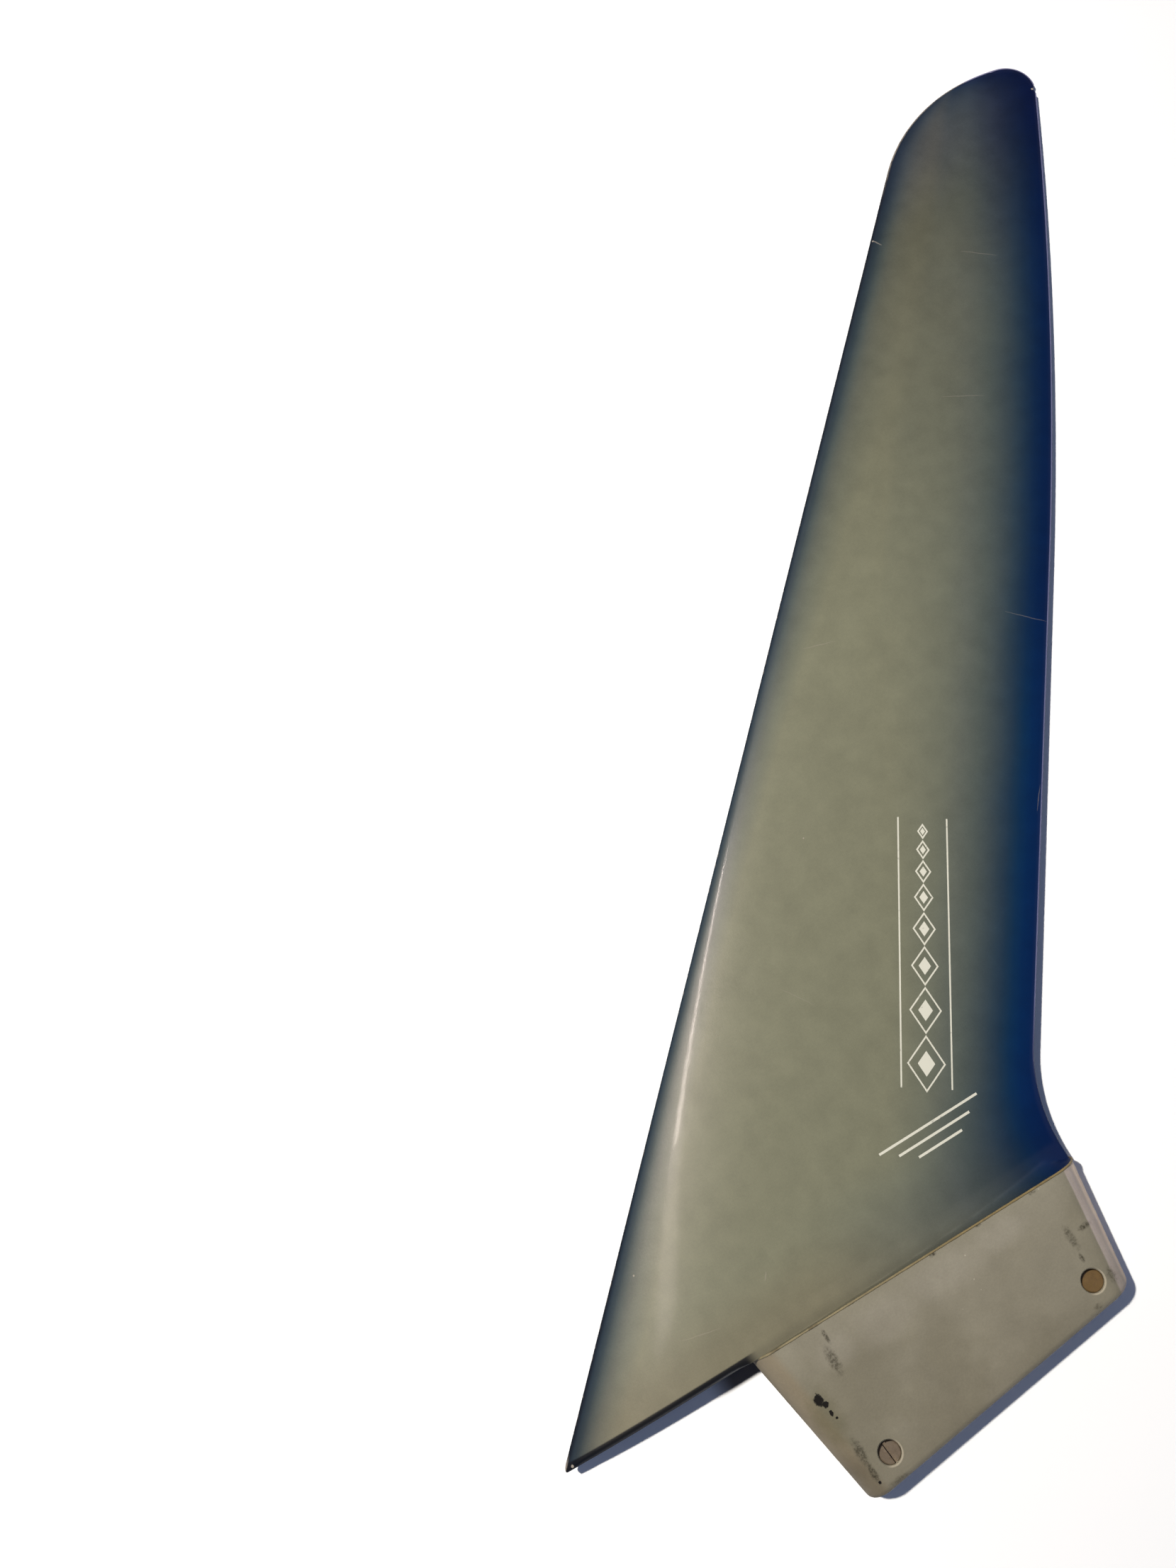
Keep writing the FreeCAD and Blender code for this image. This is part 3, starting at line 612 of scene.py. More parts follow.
def blade_tree(settings):
    """Half of the foil on a grid, mirrored to the other side, with the land below it."""
    inputs = [(name, NUMBER, value) for name, value in numbers_of(settings).items()]
    inputs.append(("Material", MATERIAL, None))
    tree, ask, sink = start_tree("Foiled blade", "GeometryNodeTree", inputs,
                                 [("Geometry", GEOMETRY)])
    ask.foot_front = -(ask.plug_length / 2) - ask.overhang

    # Rows: the base face, the cove, the middle and the tip curve
    rows = 1 + COVE_ROWS + MIDDLE_ROWS + TIP_ROWS
    grid = geometry_of(tree, "MeshGrid", {"Size X": 1.0, "Size Y": 1.0,
                                          "Vertices X": COLUMNS + 1, "Vertices Y": rows + 1})
    across, out, _ = parts_of(tree, geometry_of(tree, "InputPosition"))
    column = math_of(tree, "ROUND", (across + 0.5) * COLUMNS)
    row = math_of(tree, "ROUND", (out + 0.5) * rows)
    cove_part = clamped((row - 1) / COVE_ROWS)
    middle_part = clamped((row - 1 - COVE_ROWS) / MIDDLE_ROWS)
    tip_part = clamped((row - 1 - COVE_ROWS - MIDDLE_ROWS) / TIP_ROWS)
    _, shoulder = tip_heights(ask)
    turn = ask.lead_sweep + (TIP_END - ask.lead_sweep) * tip_part
    height = (ask.cove_height * cove_part * cove_part
              + (shoulder - ask.cove_height) * middle_part
              + ask.tip_radius * (sine(turn) - sine(ask.lead_sweep)))
    lead, trail, (tip_x, tip_y), (turn_x, turn_y) = blade_outline(ask, height)

    # Foil: half an ellipse ahead of the thickest point and an arc behind it
    chord = trail - lead
    root_fineness = ask.root_thickness / (ask.plug_length / 2 - ask.trail_margin - ask.foot_front)
    thickness = chord * (root_fineness - (root_fineness - ask.tip_fineness) * height / ask.span)
    lip = least(ask.edge_thickness, thickness * ask.edge_share) / 2
    half = thickness / 2
    nose = ask.fullness * chord
    widest = lead + nose
    run = trail - widest
    arc_radius = (run * run + (half - lip) * (half - lip)) / (2 * (half - lip))

    # Cove: the plug's outline, drawn in along a quarter of an ellipse
    full = clamped(1 - height / ask.cove_height)
    inward = (ask.plug_thickness - ask.edge_thickness) / 2 * leg(1, full)
    cove_half = ask.plug_thickness / 2 - inward
    cove_on = height < ask.cove_height
    rear = pick(cove_on, most(trail, ask.plug_length / 2 - inward), trail)

    # The foot's corner and one chipped spot in the trailing edge
    foot_left = clamped(1 - height / ask.foot_rounding)
    front = lead + ask.foot_rounding * (1 - leg(1, foot_left))
    nick = rise(abs(height - ask.nick_height), 2.3 * MM, 0.2 * MM)
    rear = rear - ask.nick_depth * nick

    part = (1 - cosine(column * (math.pi / COLUMNS))) / 2
    x = front + (rear - front) * part
    before = clamped((widest - x) / nose)
    after = most(x - widest, 0.0)
    drop = after * after / (arc_radius + leg(arc_radius, after))
    foil = pick(x < widest, half * leg(1, before), half - drop)
    foil = foil * (x < trail + 0.01 * MM)
    straight_half = (ask.plug_length - ask.plug_thickness) / 2
    beside = x - between(x, -straight_half, straight_half)
    cove = leg(cove_half, beside) * cove_on
    side = math_of(tree, "SMOOTH_MAX", foil, cove, 0.4 * MM * cove_on)

    # Rounding of the trailing lip and of the overhang's base edge
    to_rear = clamped((rear - x) / ask.lip_rounding)
    side = side * leg(1, 1 - to_rear)
    ahead = rise(x, -(ask.plug_length / 2) - 1 * MM, -(ask.plug_length / 2) - 5 * MM)
    arris = least(ask.arris, 0.6 * side) * ahead
    below = clamped(1 - height / most(arris, 1e-6))
    side = side - arris * (1 - leg(1, below))
    side = side * (row > 0.5) * (row < rows - 0.5) * (column > 0.5) * (column < COLUMNS - 0.5)

    # What the laminate's material follows: the foil's depth against its section, the distance
    # from the rim, and the share of the chord behind the leading edge.
    # They are stored before the grid takes its shape, because the fields read the flat grid.
    skin = (foil / MM) / most(root(half / MM), 0.05)
    from_tip = ask.tip_radius - hypotenuse(x - tip_x, height - tip_y)
    from_corner = ask.corner_radius - hypotenuse(x - turn_x, height - turn_y)
    rim = least((x - lead) * cosine(ask.lead_sweep), trail - x)
    rim = pick(height > shoulder - 2 * MM, least(rim, from_tip), rim)
    rim = pick((height > turn_y) * (x > turn_x), least(rim, from_corner), rim)
    geometry = grid
    for label, term in (("skin", skin), ("rim", rim / MM), ("aft", (x - lead) / chord)):
        geometry = geometry_of(tree, "StoreNamedAttribute",
                               {"Geometry": geometry, "Name": label, "Value": term},
                               data_type="FLOAT", domain="POINT")
    geometry = geometry_of(tree, "SetPosition",
                           {"Geometry": geometry, "Position": vector_of(tree, x, height, side)})
    mirrored = geometry_of(tree, "Transform", {"Geometry": geometry, "Scale": (1, 1, -1)})
    mirrored = geometry_of(tree, "FlipFaces", {"Mesh": mirrored})
    closed = geometry_of(tree, "MergeByDistance",
                         {"Geometry": joined(tree, geometry, mirrored), "Distance": 1e-7})

    # Land over the plug, with the plug's own outline
    drop_line = geometry_of(tree, "CurvePrimitiveLine",
                            {"Start": (0, 0, 0),
                             "End": vector_of(tree, 0.0, -ask.land_depth, 0.0)})
    land = geometry_of(tree, "CurveToMesh",
                       {"Curve": drop_line, "Profile Curve": plug_outline(tree, ask, 20),
                        "Fill Caps": True})

    sharp = math_of(tree, "LESS_THAN", geometry_of(tree, "InputMeshEdgeAngle"), SHARP_FOIL)
    geometry = joined(tree, closed, land)
    for smooth, domain in ((sharp, "EDGE"), (True, "FACE")):
        geometry = geometry_of(tree, "SetShadeSmooth",
                               {"Geometry": geometry, "Shade Smooth": smooth}, domain=domain)
    return end_tree(tree, sink, geometry, ask.material)


# Laminate's colours by depth: each stop is (depth over the root of the section's half
# thickness, both in millimetres, and the colour seen there)
CORE_DEPTH = 2.1
DEEPEST = 2.6
TRAIL_STOPS = [
    (0.3, shade(2, 26, 68)),
    (0.5, shade(3, 31, 71)),
    (0.65, shade(13, 39, 72)),
    (0.8, shade(29, 50, 72)),
    (0.95, shade(45, 62, 75)),
    (1.1, shade(61, 73, 78)),
    (1.35, shade(82, 90, 85)),
    (1.55, shade(96, 101, 92)),
    (1.75, shade(108, 111, 96)),
]
LEAD_STOPS = [
    (0.55, shade(14, 24, 36)),
    (0.8, shade(33, 47, 58)),
    (1.1, shade(56, 67, 72)),
    (1.35, shade(79, 87, 84)),
    (1.6, shade(97, 101, 91)),
    (1.8, shade(109, 112, 97)),
]


# Printed lozenges: distance along the row, half width and half length, in millimetres
LOZENGES = [(11, 7.2, 10.4), (30.5, 6.1, 8.8), (47, 5.2, 7.5), (61, 4.4, 6.4), (73, 3.7, 5.4),
            (83, 3.1, 4.5), (91.5, 2.6, 3.8), (98.7, 2.1, 3.1)]
PRINT_LEAN = math.radians(33)


def lozenge(across, along, half_width, half_length):
    """Outline of a lozenge with a small solid one inside it, in millimetres."""
    spread = abs(across) / half_width + abs(along) / half_length
    soft = 0.1 / half_width
    band = 0.7 / half_width
    ring = rise(spread, 1.0 + soft, 1.0 - soft) * rise(spread, 1.0 - band - soft, 1.0 - band + soft)
    return most(ring, rise(spread, 0.45 + soft, 0.45 - soft))


def stripe(across, along, half_width, start, end):
    """A straight bar from start to end, in millimetres."""
    soft = 0.08
    return (rise(abs(across), half_width + soft, half_width - soft)
            * rise(along, start - soft, start + soft) * rise(along, end + soft, end - soft))


def printed_marks(x, y):
    """A row of lozenges up the blade between two bars, over three short slanted bars."""
    from_x = x - 36
    from_y = y - 45
    along = from_x * math.sin(PRINT_LEAN) + from_y * math.cos(PRINT_LEAN)
    across = from_x * math.cos(PRINT_LEAN) - from_y * math.sin(PRINT_LEAN)
    marks = [lozenge(across, along - centre, *halves) for centre, *halves in LOZENGES]
    marks += [stripe(across - offset, along, 0.3, 2, 104) for offset in (-9.4, 9.4)]
    marks += [stripe(y - (36 - 4 * step), x, 0.45, 9 + 6 * step, 52 - 6 * step)
              for step in range(3)]
    return functools.reduce(most, marks)


# Fine scratches in the laminate: start, end, width in millimetres and strength
SCRATCHES = [
    ((0.1690, 0.1860), (0.1816, 0.1737), 0.25, 0.35),
    ((0.0905, 0.2150), (0.1040, 0.2105), 0.25, 0.4),
    ((-0.0480, 0.0230), (-0.0500, 0.0205), 0.30, 0.5),
    ((0.1330, 0.1120), (0.1400, 0.1200), 0.25, 0.4),
    ((0.2010, 0.2790), (0.2170, 0.2700), 0.25, 0.35),
    ((-0.0860, 0.0180), (-0.0720, 0.0150), 0.25, 0.35),
    ((0.0100, 0.1050), (0.0180, 0.0930), 0.22, 0.3),
    ((0.2480, 0.3330), (0.2600, 0.3230), 0.25, 0.35),
    ((0.2200, 0.3590), (0.2217, 0.3545), 0.40, 0.7),
]
# Small chips in the laminate: centre, radius in millimetres, squeeze along X and Y, and strength
CHIPS = [
    ((0.2201, 0.3586), 0.35, (1, 1), 1.0),
    ((0.3228, 0.3856), 0.5, (1, 1), 1.0),
    ((-0.0902, 0.0448), 0.35, (1, 1), 1.0),
    ((-0.1415, 0.0012), 0.5, (1, 1), 1.0),
    ((0.0490, 0.1490), 0.3, (1, 1), 1.0),
]
# The cloth's threads: their pitch in millimetres, and their turn away from the board
THREAD_PITCH = 1.1
THREAD_TURN = math.radians(41)


def make_laminate(finish):
    """Glass laminate: blue where it is thin, khaki where it is thick, under a clear gloss."""
    material, tree, shader = start_material("Glass laminate")
    place, x, y, _ = position_in(tree)
    skin, rim, aft = [Field(tree, node(tree, "ShaderNodeAttribute",
                                       attribute_name=label).outputs["Fac"])
                      for label in ("skin", "rim", "aft")]
    lead_side = rise(aft, 0.42, 0.28)
    trail_side = rise(aft, 0.55, 0.85)

    # Colour by depth, with a ramp for either edge
    clouds = noise(tree, place, 26 * MM, detail=3.0)
    full_lead = 0.10 + 0.38 * rise(y, 10, 130) * rise(y, 310, 150) + 0.12 * rise(y, 200, 280)
    depth = skin + lead_side * full_lead + 0.12 * (clouds - 0.5)
    ramps = []
    for edge, stops in ((finish.navy, TRAIL_STOPS), (finish.teal, LEAD_STOPS)):
        stops = [(0.0, edge)] + stops + [(CORE_DEPTH, finish.core)]
        ramps.append(ramp(depth / DEEPEST, [(value / DEEPEST, seen) for value, seen in stops]))

    # Darker, browner core far out as painted shade, clearer blue low along the trailing edge, and bluer
    # towards the tip
    far_out_shade = rise(y, 215, 380) * rise(depth, 1.2, 1.9)
    clear = rise(y, 190, 140) * rise(depth, 0.9, 0.5) * trail_side
    violet = rise(y, 290, 390) * rise(aft, 0.5, 0.85)
    tint = layered(tree, blend(tree, lead_side, *ramps),
                   (0.7 * far_out_shade, shade(104, 101, 82)),
                   (clear, (0.7, 1.4, 1.28), "MULTIPLY"),
                   (rise(y, 350, 390), (0.94, 0.94, 1.2), "MULTIPLY"),
                   (violet, (0.72, 0.68, 1.0), "MULTIPLY"))

    # Cloth layers, fine mottling, and painted shade that dims the outer part towards the tip, as a lamp's
    # falloff would
    warp, weft = [sine((x * math.cos(turn) + y * math.sin(turn)) * (2 * math.pi / THREAD_PITCH))
                  for turn in (THREAD_TURN, THREAD_TURN + math.pi / 2)]
    mottle = use(tree, grain_group(), Position=place, Coarse=8 * MM, Fine=0.8 * MM, Depth=0.24)
    painted_tip_shade = (0.07 + 0.09 * rise(y, 200, 280) + (0.22 + 0.2 * trail_side) * rise(y, 300, 398))
    tint = toned(tree, tint, mottle["Shade"] + 0.016 * warp * weft - painted_tip_shade)

    # Warmer and darker towards the base, a slate tone with painted shade in the cove over the plug's edge,
    # and the overhang's dark base edge, its near-black partly the bare edge and partly painted shade
    # standing in for the shadow beneath it
    over_plug = rise(x, -70, -64)
    cove_slate_shade = rise(y, 5.0, 0.6) * over_plug * rise(x, 45, 10)
    base_edge_shade = rise(y, 3.0, 2.4) * (1 - over_plug)
    tint = layered(tree, tint,
                   (rise(y, 30, 3), (0.93, 0.86, 0.83), "MULTIPLY"),
                   (rise(x, -40, 10) * rise(y, 40, 8), (0.72, 0.80, 0.93), "MULTIPLY"),
                   (0.3 * cove_slate_shade, shade(64, 62, 54)),
                   (0.96 * base_edge_shade, shade(6, 8, 14)))

    # Bare glass on the rim of the tip and the foot, scratches and small chips
    ragged = noise(tree, place, 3 * MM, detail=4.0, roughness=0.7)
    tip_rim = 0.6 * rise(y, 372, 392) * rise(rim, 0.9, 0.3)
    foot_rim = rise(y, 6, 2) * rise(x, -140, -144) * rise(rim, 0.9, 0.3)
    line_rim = rise(rim, 0.42, 0.15) * rise(ragged, 0.52, 0.7)
    rub = most(tip_rim * rise(ragged, 0.25, 0.5), most(0.6 * foot_rim, 0.4 * line_rim))
    lines = 0.0
    for start, end, width, level in SCRATCHES:
        mark = use(tree, scratch_group(), Position=place, Start=(*start, 0), End=(*end, 0),
                   Width=width * MM, Sway=0.8 * MM)
        lines = most(level * mark["Mask"], lines)
    chips = spots(tree, place, CHIPS, grit=1.5, raggedness=1.2, softness=0.25)
    bare = most(most(rub, 0.55 * lines), 0.75 * chips)

    # Print under the gloss, the bare spots over it, and the paler blunt trailing edge
    worn_print = rise(noise(tree, place, 2.2 * MM, detail=4.0), 0.28, 0.38)
    marks = printed_marks(x, y) * (0.55 + 0.45 * worn_print)
    trail_rim = rise(rim, 0.95, 0.6) * rise(aft, 0.6, 0.8) * rise(y, 24, 60)
    tint = layered(tree, tint, (0.92 * marks, finish.printed), (bare, finish.worn),
                   (0.75 * trail_rim, shade(128, 130, 168)))

    # Dull where the rim and the cove at the plug are rubbed
    hazy = noise(tree, place, 14 * MM, detail=5.0, roughness=0.6)
    dull = most(bare, most(rise(rim, 3.0, 0.8), 0.9 * rise(y, 9, 6) * over_plug))
    dents = 1.6 * (noise(tree, place, 7 * MM, detail=2.0) - 0.5) - 2.5 * chips - 0.8 * lines
    dress(tree, shader, Base_Color=tint, Roughness=0.32 + 0.16 * (hazy - 0.5) + 0.3 * dull,
          IOR=1.5, Specular_IOR_Level=0.5,
          Normal=bump(tree, mottle["Height"] - 2.0 * bare, 0.02 * MM),
          Coat_Weight=0.16 * (1 - 0.85 * dull), Coat_Roughness=0.09, Coat_IOR=1.45,
          Coat_Normal=bump(tree, dents, 0.02 * MM))
    lay_out(tree)
    return material


def put(piece, material, slot, *nodes):
    """Gives a finished piece its material and lets it ride on the fin. slot is not used."""
    if material is not None:
        piece.data.materials.clear()
        piece.data.materials.append(material)
    if nodes:
        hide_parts(*nodes)
    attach(piece, "root")
    return piece


class FIN_OT_blade(bpy.types.Operator):
    """Makes the foiled blade in place of its solid"""

    bl_idname = "fin.blade"
    bl_label = "Make Blade"

    def execute(self, context):
        settings = context.scene.fin_blade
        values = numbers_of(settings)
        values["Material"] = make_laminate(context.scene.fin_finish)
        blade = grow("blade_foil", blade_tree(settings), values)
        put(blade, None, "laminate", "blade")
        return {"FINISHED"}


# Resin line round the seam between blade and plug


def bead_tree():
    """A bead that follows the plug's outline and swells and thins along it."""
    tree, ask, sink = start_tree("Resin bead", "GeometryNodeTree", [
        ("Plug length", NUMBER, 0.1375), ("Plug thickness", NUMBER, 0.0185),
        ("Drop", NUMBER, 0.00025), ("Bead radius", NUMBER, 0.0004),
        ("Material", MATERIAL, None)], [("Geometry", GEOMETRY)])
    outline = geometry_of(tree, "ResampleCurve",
                          {"Curve": plug_outline(tree, ask, 16), "Length": 0.9 * MM}, mode="LENGTH")
    laid = geometry_of(tree, "Transform",
                       {"Geometry": outline, "Translation": vector_of(tree, 0.0, -ask.drop, 0.0),
                        "Rotation": (math.pi / 2, 0, 0)})
    swell = 0.62 + 0.7 * noise(tree, geometry_of(tree, "InputPosition"), 5 * MM, detail=3.0)
    profile = geometry_of(tree, "CurvePrimitiveCircle",
                          {"Resolution": 10, "Radius": ask.bead_radius}, mode="RADIUS")
    tube = geometry_of(tree, "CurveToMesh",
                       {"Curve": laid, "Profile Curve": profile, "Scale": swell})
    smooth = geometry_of(tree, "SetShadeSmooth", {"Geometry": tube})
    return end_tree(tree, sink, smooth, ask.material)


def make_bead_material(finish):
    """Yellow-brown resin that darkens with dirt in places."""
    material, tree, shader = start_material("Squeezed resin")
    place, x, _, _ = position_in(tree)
    mottle = use(tree, grain_group(), Position=place, Coarse=6 * MM, Fine=0.7 * MM, Depth=0.5)
    tint = toned(tree, blend(tree, rise(x, -40, 40), shade(130, 120, 92), finish.bead),
                 mottle["Shade"])
    dirt = rise(noise(tree, place, 8 * MM, detail=4.0), 0.55, 0.72)
    tint = blend(tree, 0.6 * dirt, tint, shade(62, 52, 36))
    dress(tree, shader, Base_Color=tint, Roughness=0.45 + 0.2 * dirt,
          Normal=bump(tree, mottle["Height"], 0.05 * MM))
    lay_out(tree)
    return material


class FIN_OT_seam(bpy.types.Operator):
    """Makes the line of squeezed-out resin between blade and plug"""

    bl_idname = "fin.seam"
    bl_label = "Make Seam"

    def execute(self, context):
        blade, head = context.scene.fin_blade, context.scene.fin_head
        seam = grow("seam_bead", bead_tree(), {
            "Plug length": blade.plug_length, "Plug thickness": blade.plug_thickness,
            "Drop": blade.land_depth / 2, "Bead radius": head.bead_radius,
            "Material": make_bead_material(context.scene.fin_finish)})
        put(seam, None, "laminate")
        return {"FINISHED"}


# Cast plug

# Steps round each end, along each side, down the skin, round the rim and round a hole, and
# the angle above which an edge stays sharp
END_STEPS = 36
SIDE_STEPS = 56
DEPTH_STEPS = 24
RIM_STEPS = 6
HOLE_STEPS = 48
SHARP_PLUG = math.radians(32)


def depth_at(head, x):
    """Depth of the sloped deep end at a distance along the board."""
    return head.depth - x * math.tan(head.deep_slope)


def plug_ring(blade, head, share_down, inset, lift):
    """One closed ring of the plug's skin. share_down runs from the land to the rim's start."""
    half = blade.plug_thickness / 2
    leans = {-1: head.front_lean, 1: head.rear_lean}
    cones = {end: math.atan(math.cos(lean) * math.tan(head.side_taper))
             for end, lean in leans.items()}

    def centre_of(end, down):
        """Where the axis of a round end stands at a depth."""
        reach = half * math.cos(cones[end]) / math.cos(leans[end] + cones[end])
        return end * (blade.plug_length / 2 - reach - down * math.tan(leans[end]))

    def point(end, turn, along):
        """A point on the outline: end is -1 on the front curve, 1 on the rear one, 0 between."""
        down = blade.land_depth
        # The deep end slopes, so x and the depth follow each other: a few rounds settle both
        for _ in range(4):
            wide = half - down * math.tan(head.side_taper) - inset
            if end:
                centre = centre_of(end, down)
                outer = blade.plug_length / 2 - down * math.tan(leans[end] + cones[end])
                x = centre + end * (outer - abs(centre) - inset) * math.cos(turn)
                z = wide * math.sin(turn)
            else:
                front, rear = centre_of(-1, down), centre_of(1, down)
                x = front + (rear - front) * along
                z = wide * turn
            rim_start = depth_at(head, x) - head.rim_radius
            down = blade.land_depth + share_down * (rim_start - blade.land_depth) + lift
        return Vector((x, -down, z))

    quarter = math.pi / 2
    ring = [point(-1, -quarter + math.pi * step / END_STEPS, 0) for step in range(END_STEPS)]
    ring += [point(0, 1, step / SIDE_STEPS) for step in range(SIDE_STEPS)]
    ring += [point(1, quarter - math.pi * step / END_STEPS, 0) for step in range(END_STEPS)]
    ring += [point(0, -1, 1 - step / SIDE_STEPS) for step in range(SIDE_STEPS)]
    return ring


def mesh_of_rings(name, rings):
    """A closed skin over rings of points, with a flat face at either end."""
    shape = bmesh.new()
    made = [[shape.verts.new(point) for point in ring] for ring in rings]
    count = len(made[0])
    for upper, lower in zip(made, made[1:]):
        for spot in range(count):
            after = (spot + 1) % count
            shape.faces.new((upper[spot], upper[after], lower[after], lower[spot]))
    shape.faces.new(reversed(made[0]))
    shape.faces.new(made[-1])
    bmesh.ops.recalc_face_normals(shape, faces=shape.faces)
    mesh = bpy.data.meshes.new(name)
    shape.to_mesh(mesh)
    shape.free()
    return mesh


def plug_mesh(blade, head):
    """The plug's skin as rings from the land down over the rim."""
    rings = [plug_ring(blade, head, step / DEPTH_STEPS, 0, 0) for step in range(DEPTH_STEPS + 1)]
    for step in range(1, RIM_STEPS + 1):
        turn = math.pi / 2 * step / RIM_STEPS
        rings.append(plug_ring(blade, head, 1, head.rim_radius * (1 - math.cos(turn)),
                               head.rim_radius * math.sin(turn)))
    return mesh_of_rings("plug_skin", rings)


def turned(name, profile, placing):
    """A closed turned shape about Z. profile holds (distance along the axis, radius)."""
    turns = [2 * math.pi * step / HOLE_STEPS for step in range(HOLE_STEPS)]
    rings = [[placing @ Vector((radius * math.cos(turn), radius * math.sin(turn), along))
              for turn in turns] for along, radius in profile]
    return bpy.data.objects.new(name, mesh_of_rings(name, rings))


def plug_cutters(blade, head):
    """Cross holes with a worn edge, and the bolt holes that meet them from the deep end."""
    cutters = []
    down = Vector((math.sin(head.deep_slope), -math.cos(head.deep_slope), 0))
    past = 2 * MM
    for name in NUTS:
        low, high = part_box(name)
        centre = (low + high) / 2
        placing = Matrix.Translation(centre)
        face = blade.plug_thickness / 2 + centre.y * math.tan(head.side_taper)
        bevel = head.hole_bevel
        outer = head.hole_radius + bevel + past
        profile = [(-face - past, outer), (-face + bevel, head.hole_radius),
                   (face - bevel, head.hole_radius), (face + past, outer)]
        cutters.append(turned(f"{name}_hole", profile, placing))
        to_deep = (depth_at(head, centre.x) + centre.y) * math.cos(head.deep_slope)
        turn = down.to_track_quat("Z", "Y").to_matrix().to_4x4()
        profile = [(to_deep - head.bore_depth, head.bore_radius), (to_deep - MM, head.bore_radius),
                   (to_deep + past, head.bore_radius)]
        cutters.append(turned(f"{name}_bore", profile, placing @ turn))
    return cutters


def carve(piece, cutters):
    """Cuts the cutters from the piece and removes them."""
    scene = bpy.context.scene
    for cutter in cutters:
        scene.collection.objects.link(cutter)
        modifier = piece.modifiers.new(cutter.name, "BOOLEAN")
        modifier.operation = "DIFFERENCE"
        modifier.solver = "EXACT"
        modifier.object = cutter
    depsgraph = bpy.context.evaluated_depsgraph_get()
    carved = bpy.data.meshes.new_from_object(piece.evaluated_get(depsgraph), depsgraph=depsgraph)
    piece.modifiers.clear()
    piece.data = carved
    for cutter in cutters:
        bpy.data.objects.remove(cutter)


def smooth_by_angle(mesh, limit):
    """Smooth shading with sharp edges where two faces meet at more than the limit."""
    shape = bmesh.new()
    shape.from_mesh(mesh)
    for face in shape.faces:
        face.smooth = True
    for edge in shape.edges:
        edge.smooth = edge.is_manifold and edge.calc_face_angle(math.pi) < limit
    shape.to_mesh(mesh)
    shape.free()


# Marks on the plug: centre, radius in millimetres, squeeze along X and Y, and strength
SMEARS = [
    ((-0.0412, -0.0052), 0.7, (1.0, 0.30), 0.8),
    ((-0.0431, -0.0128), 1.7, (1.0, 0.38), 0.75),
    ((-0.0512, -0.0425), 1.5, (1.0, 0.35), 0.75),
    ((-0.0508, -0.0500), 1.0, (1.0, 0.33), 0.95),
    ((0.0512, -0.0205), 1.4, (1.0, 0.38), 0.65),
    ((0.0575, -0.0196), 1.1, (0.5, 1.2), 0.85),
    ((0.0505, -0.0278), 0.7, (1.0, 0.5), 0.9),
    ((0.0562, -0.0378), 1.7, (1.2, 0.7), 0.6),
    ((0.0462, -0.0438), 0.9, (0.6, 1.0), 0.5),
    ((-0.0440, -0.0560), 0.9, (0.25, 1.0), 0.5),
    ((0.0060, -0.0010), 0.6, (0.5, 1.0), 0.9),
    ((0.0254, -0.0008), 0.6, (0.5, 1.0), 0.9),
    ((0.0480, -0.0012), 0.5, (0.4, 1.0), 0.7),
]
PITS = [
    ((-0.0546, -0.0214), 1.5, (1.0, 0.8), 1.0),
    ((-0.0532, -0.0236), 1.0, (1.0, 1.0), 1.0),
    ((-0.0530, -0.0270), 0.8, (1.4, 0.9), 1.0),
    ((-0.0521, -0.0292), 0.4, (1.0, 1.0), 1.0),
    ((-0.0505, -0.0536), 0.45, (1.0, 1.0), 1.0),
]
GREENISH_PATCH = [((-0.0550, -0.0280), 4.5, (1.0, 0.45), 1.0)]
PALE_SMUDGES = [
    ((-0.0200, -0.0105), 11, (1.0, 1.6), 1.0),
    ((-0.0400, -0.0110), 7, (1.0, 1.4), 1.0),
    ((0.0060, -0.0085), 12, (0.8, 2.0), 1.0),
    ((0.0300, -0.0070), 8, (0.8, 1.8), 1.0),
]


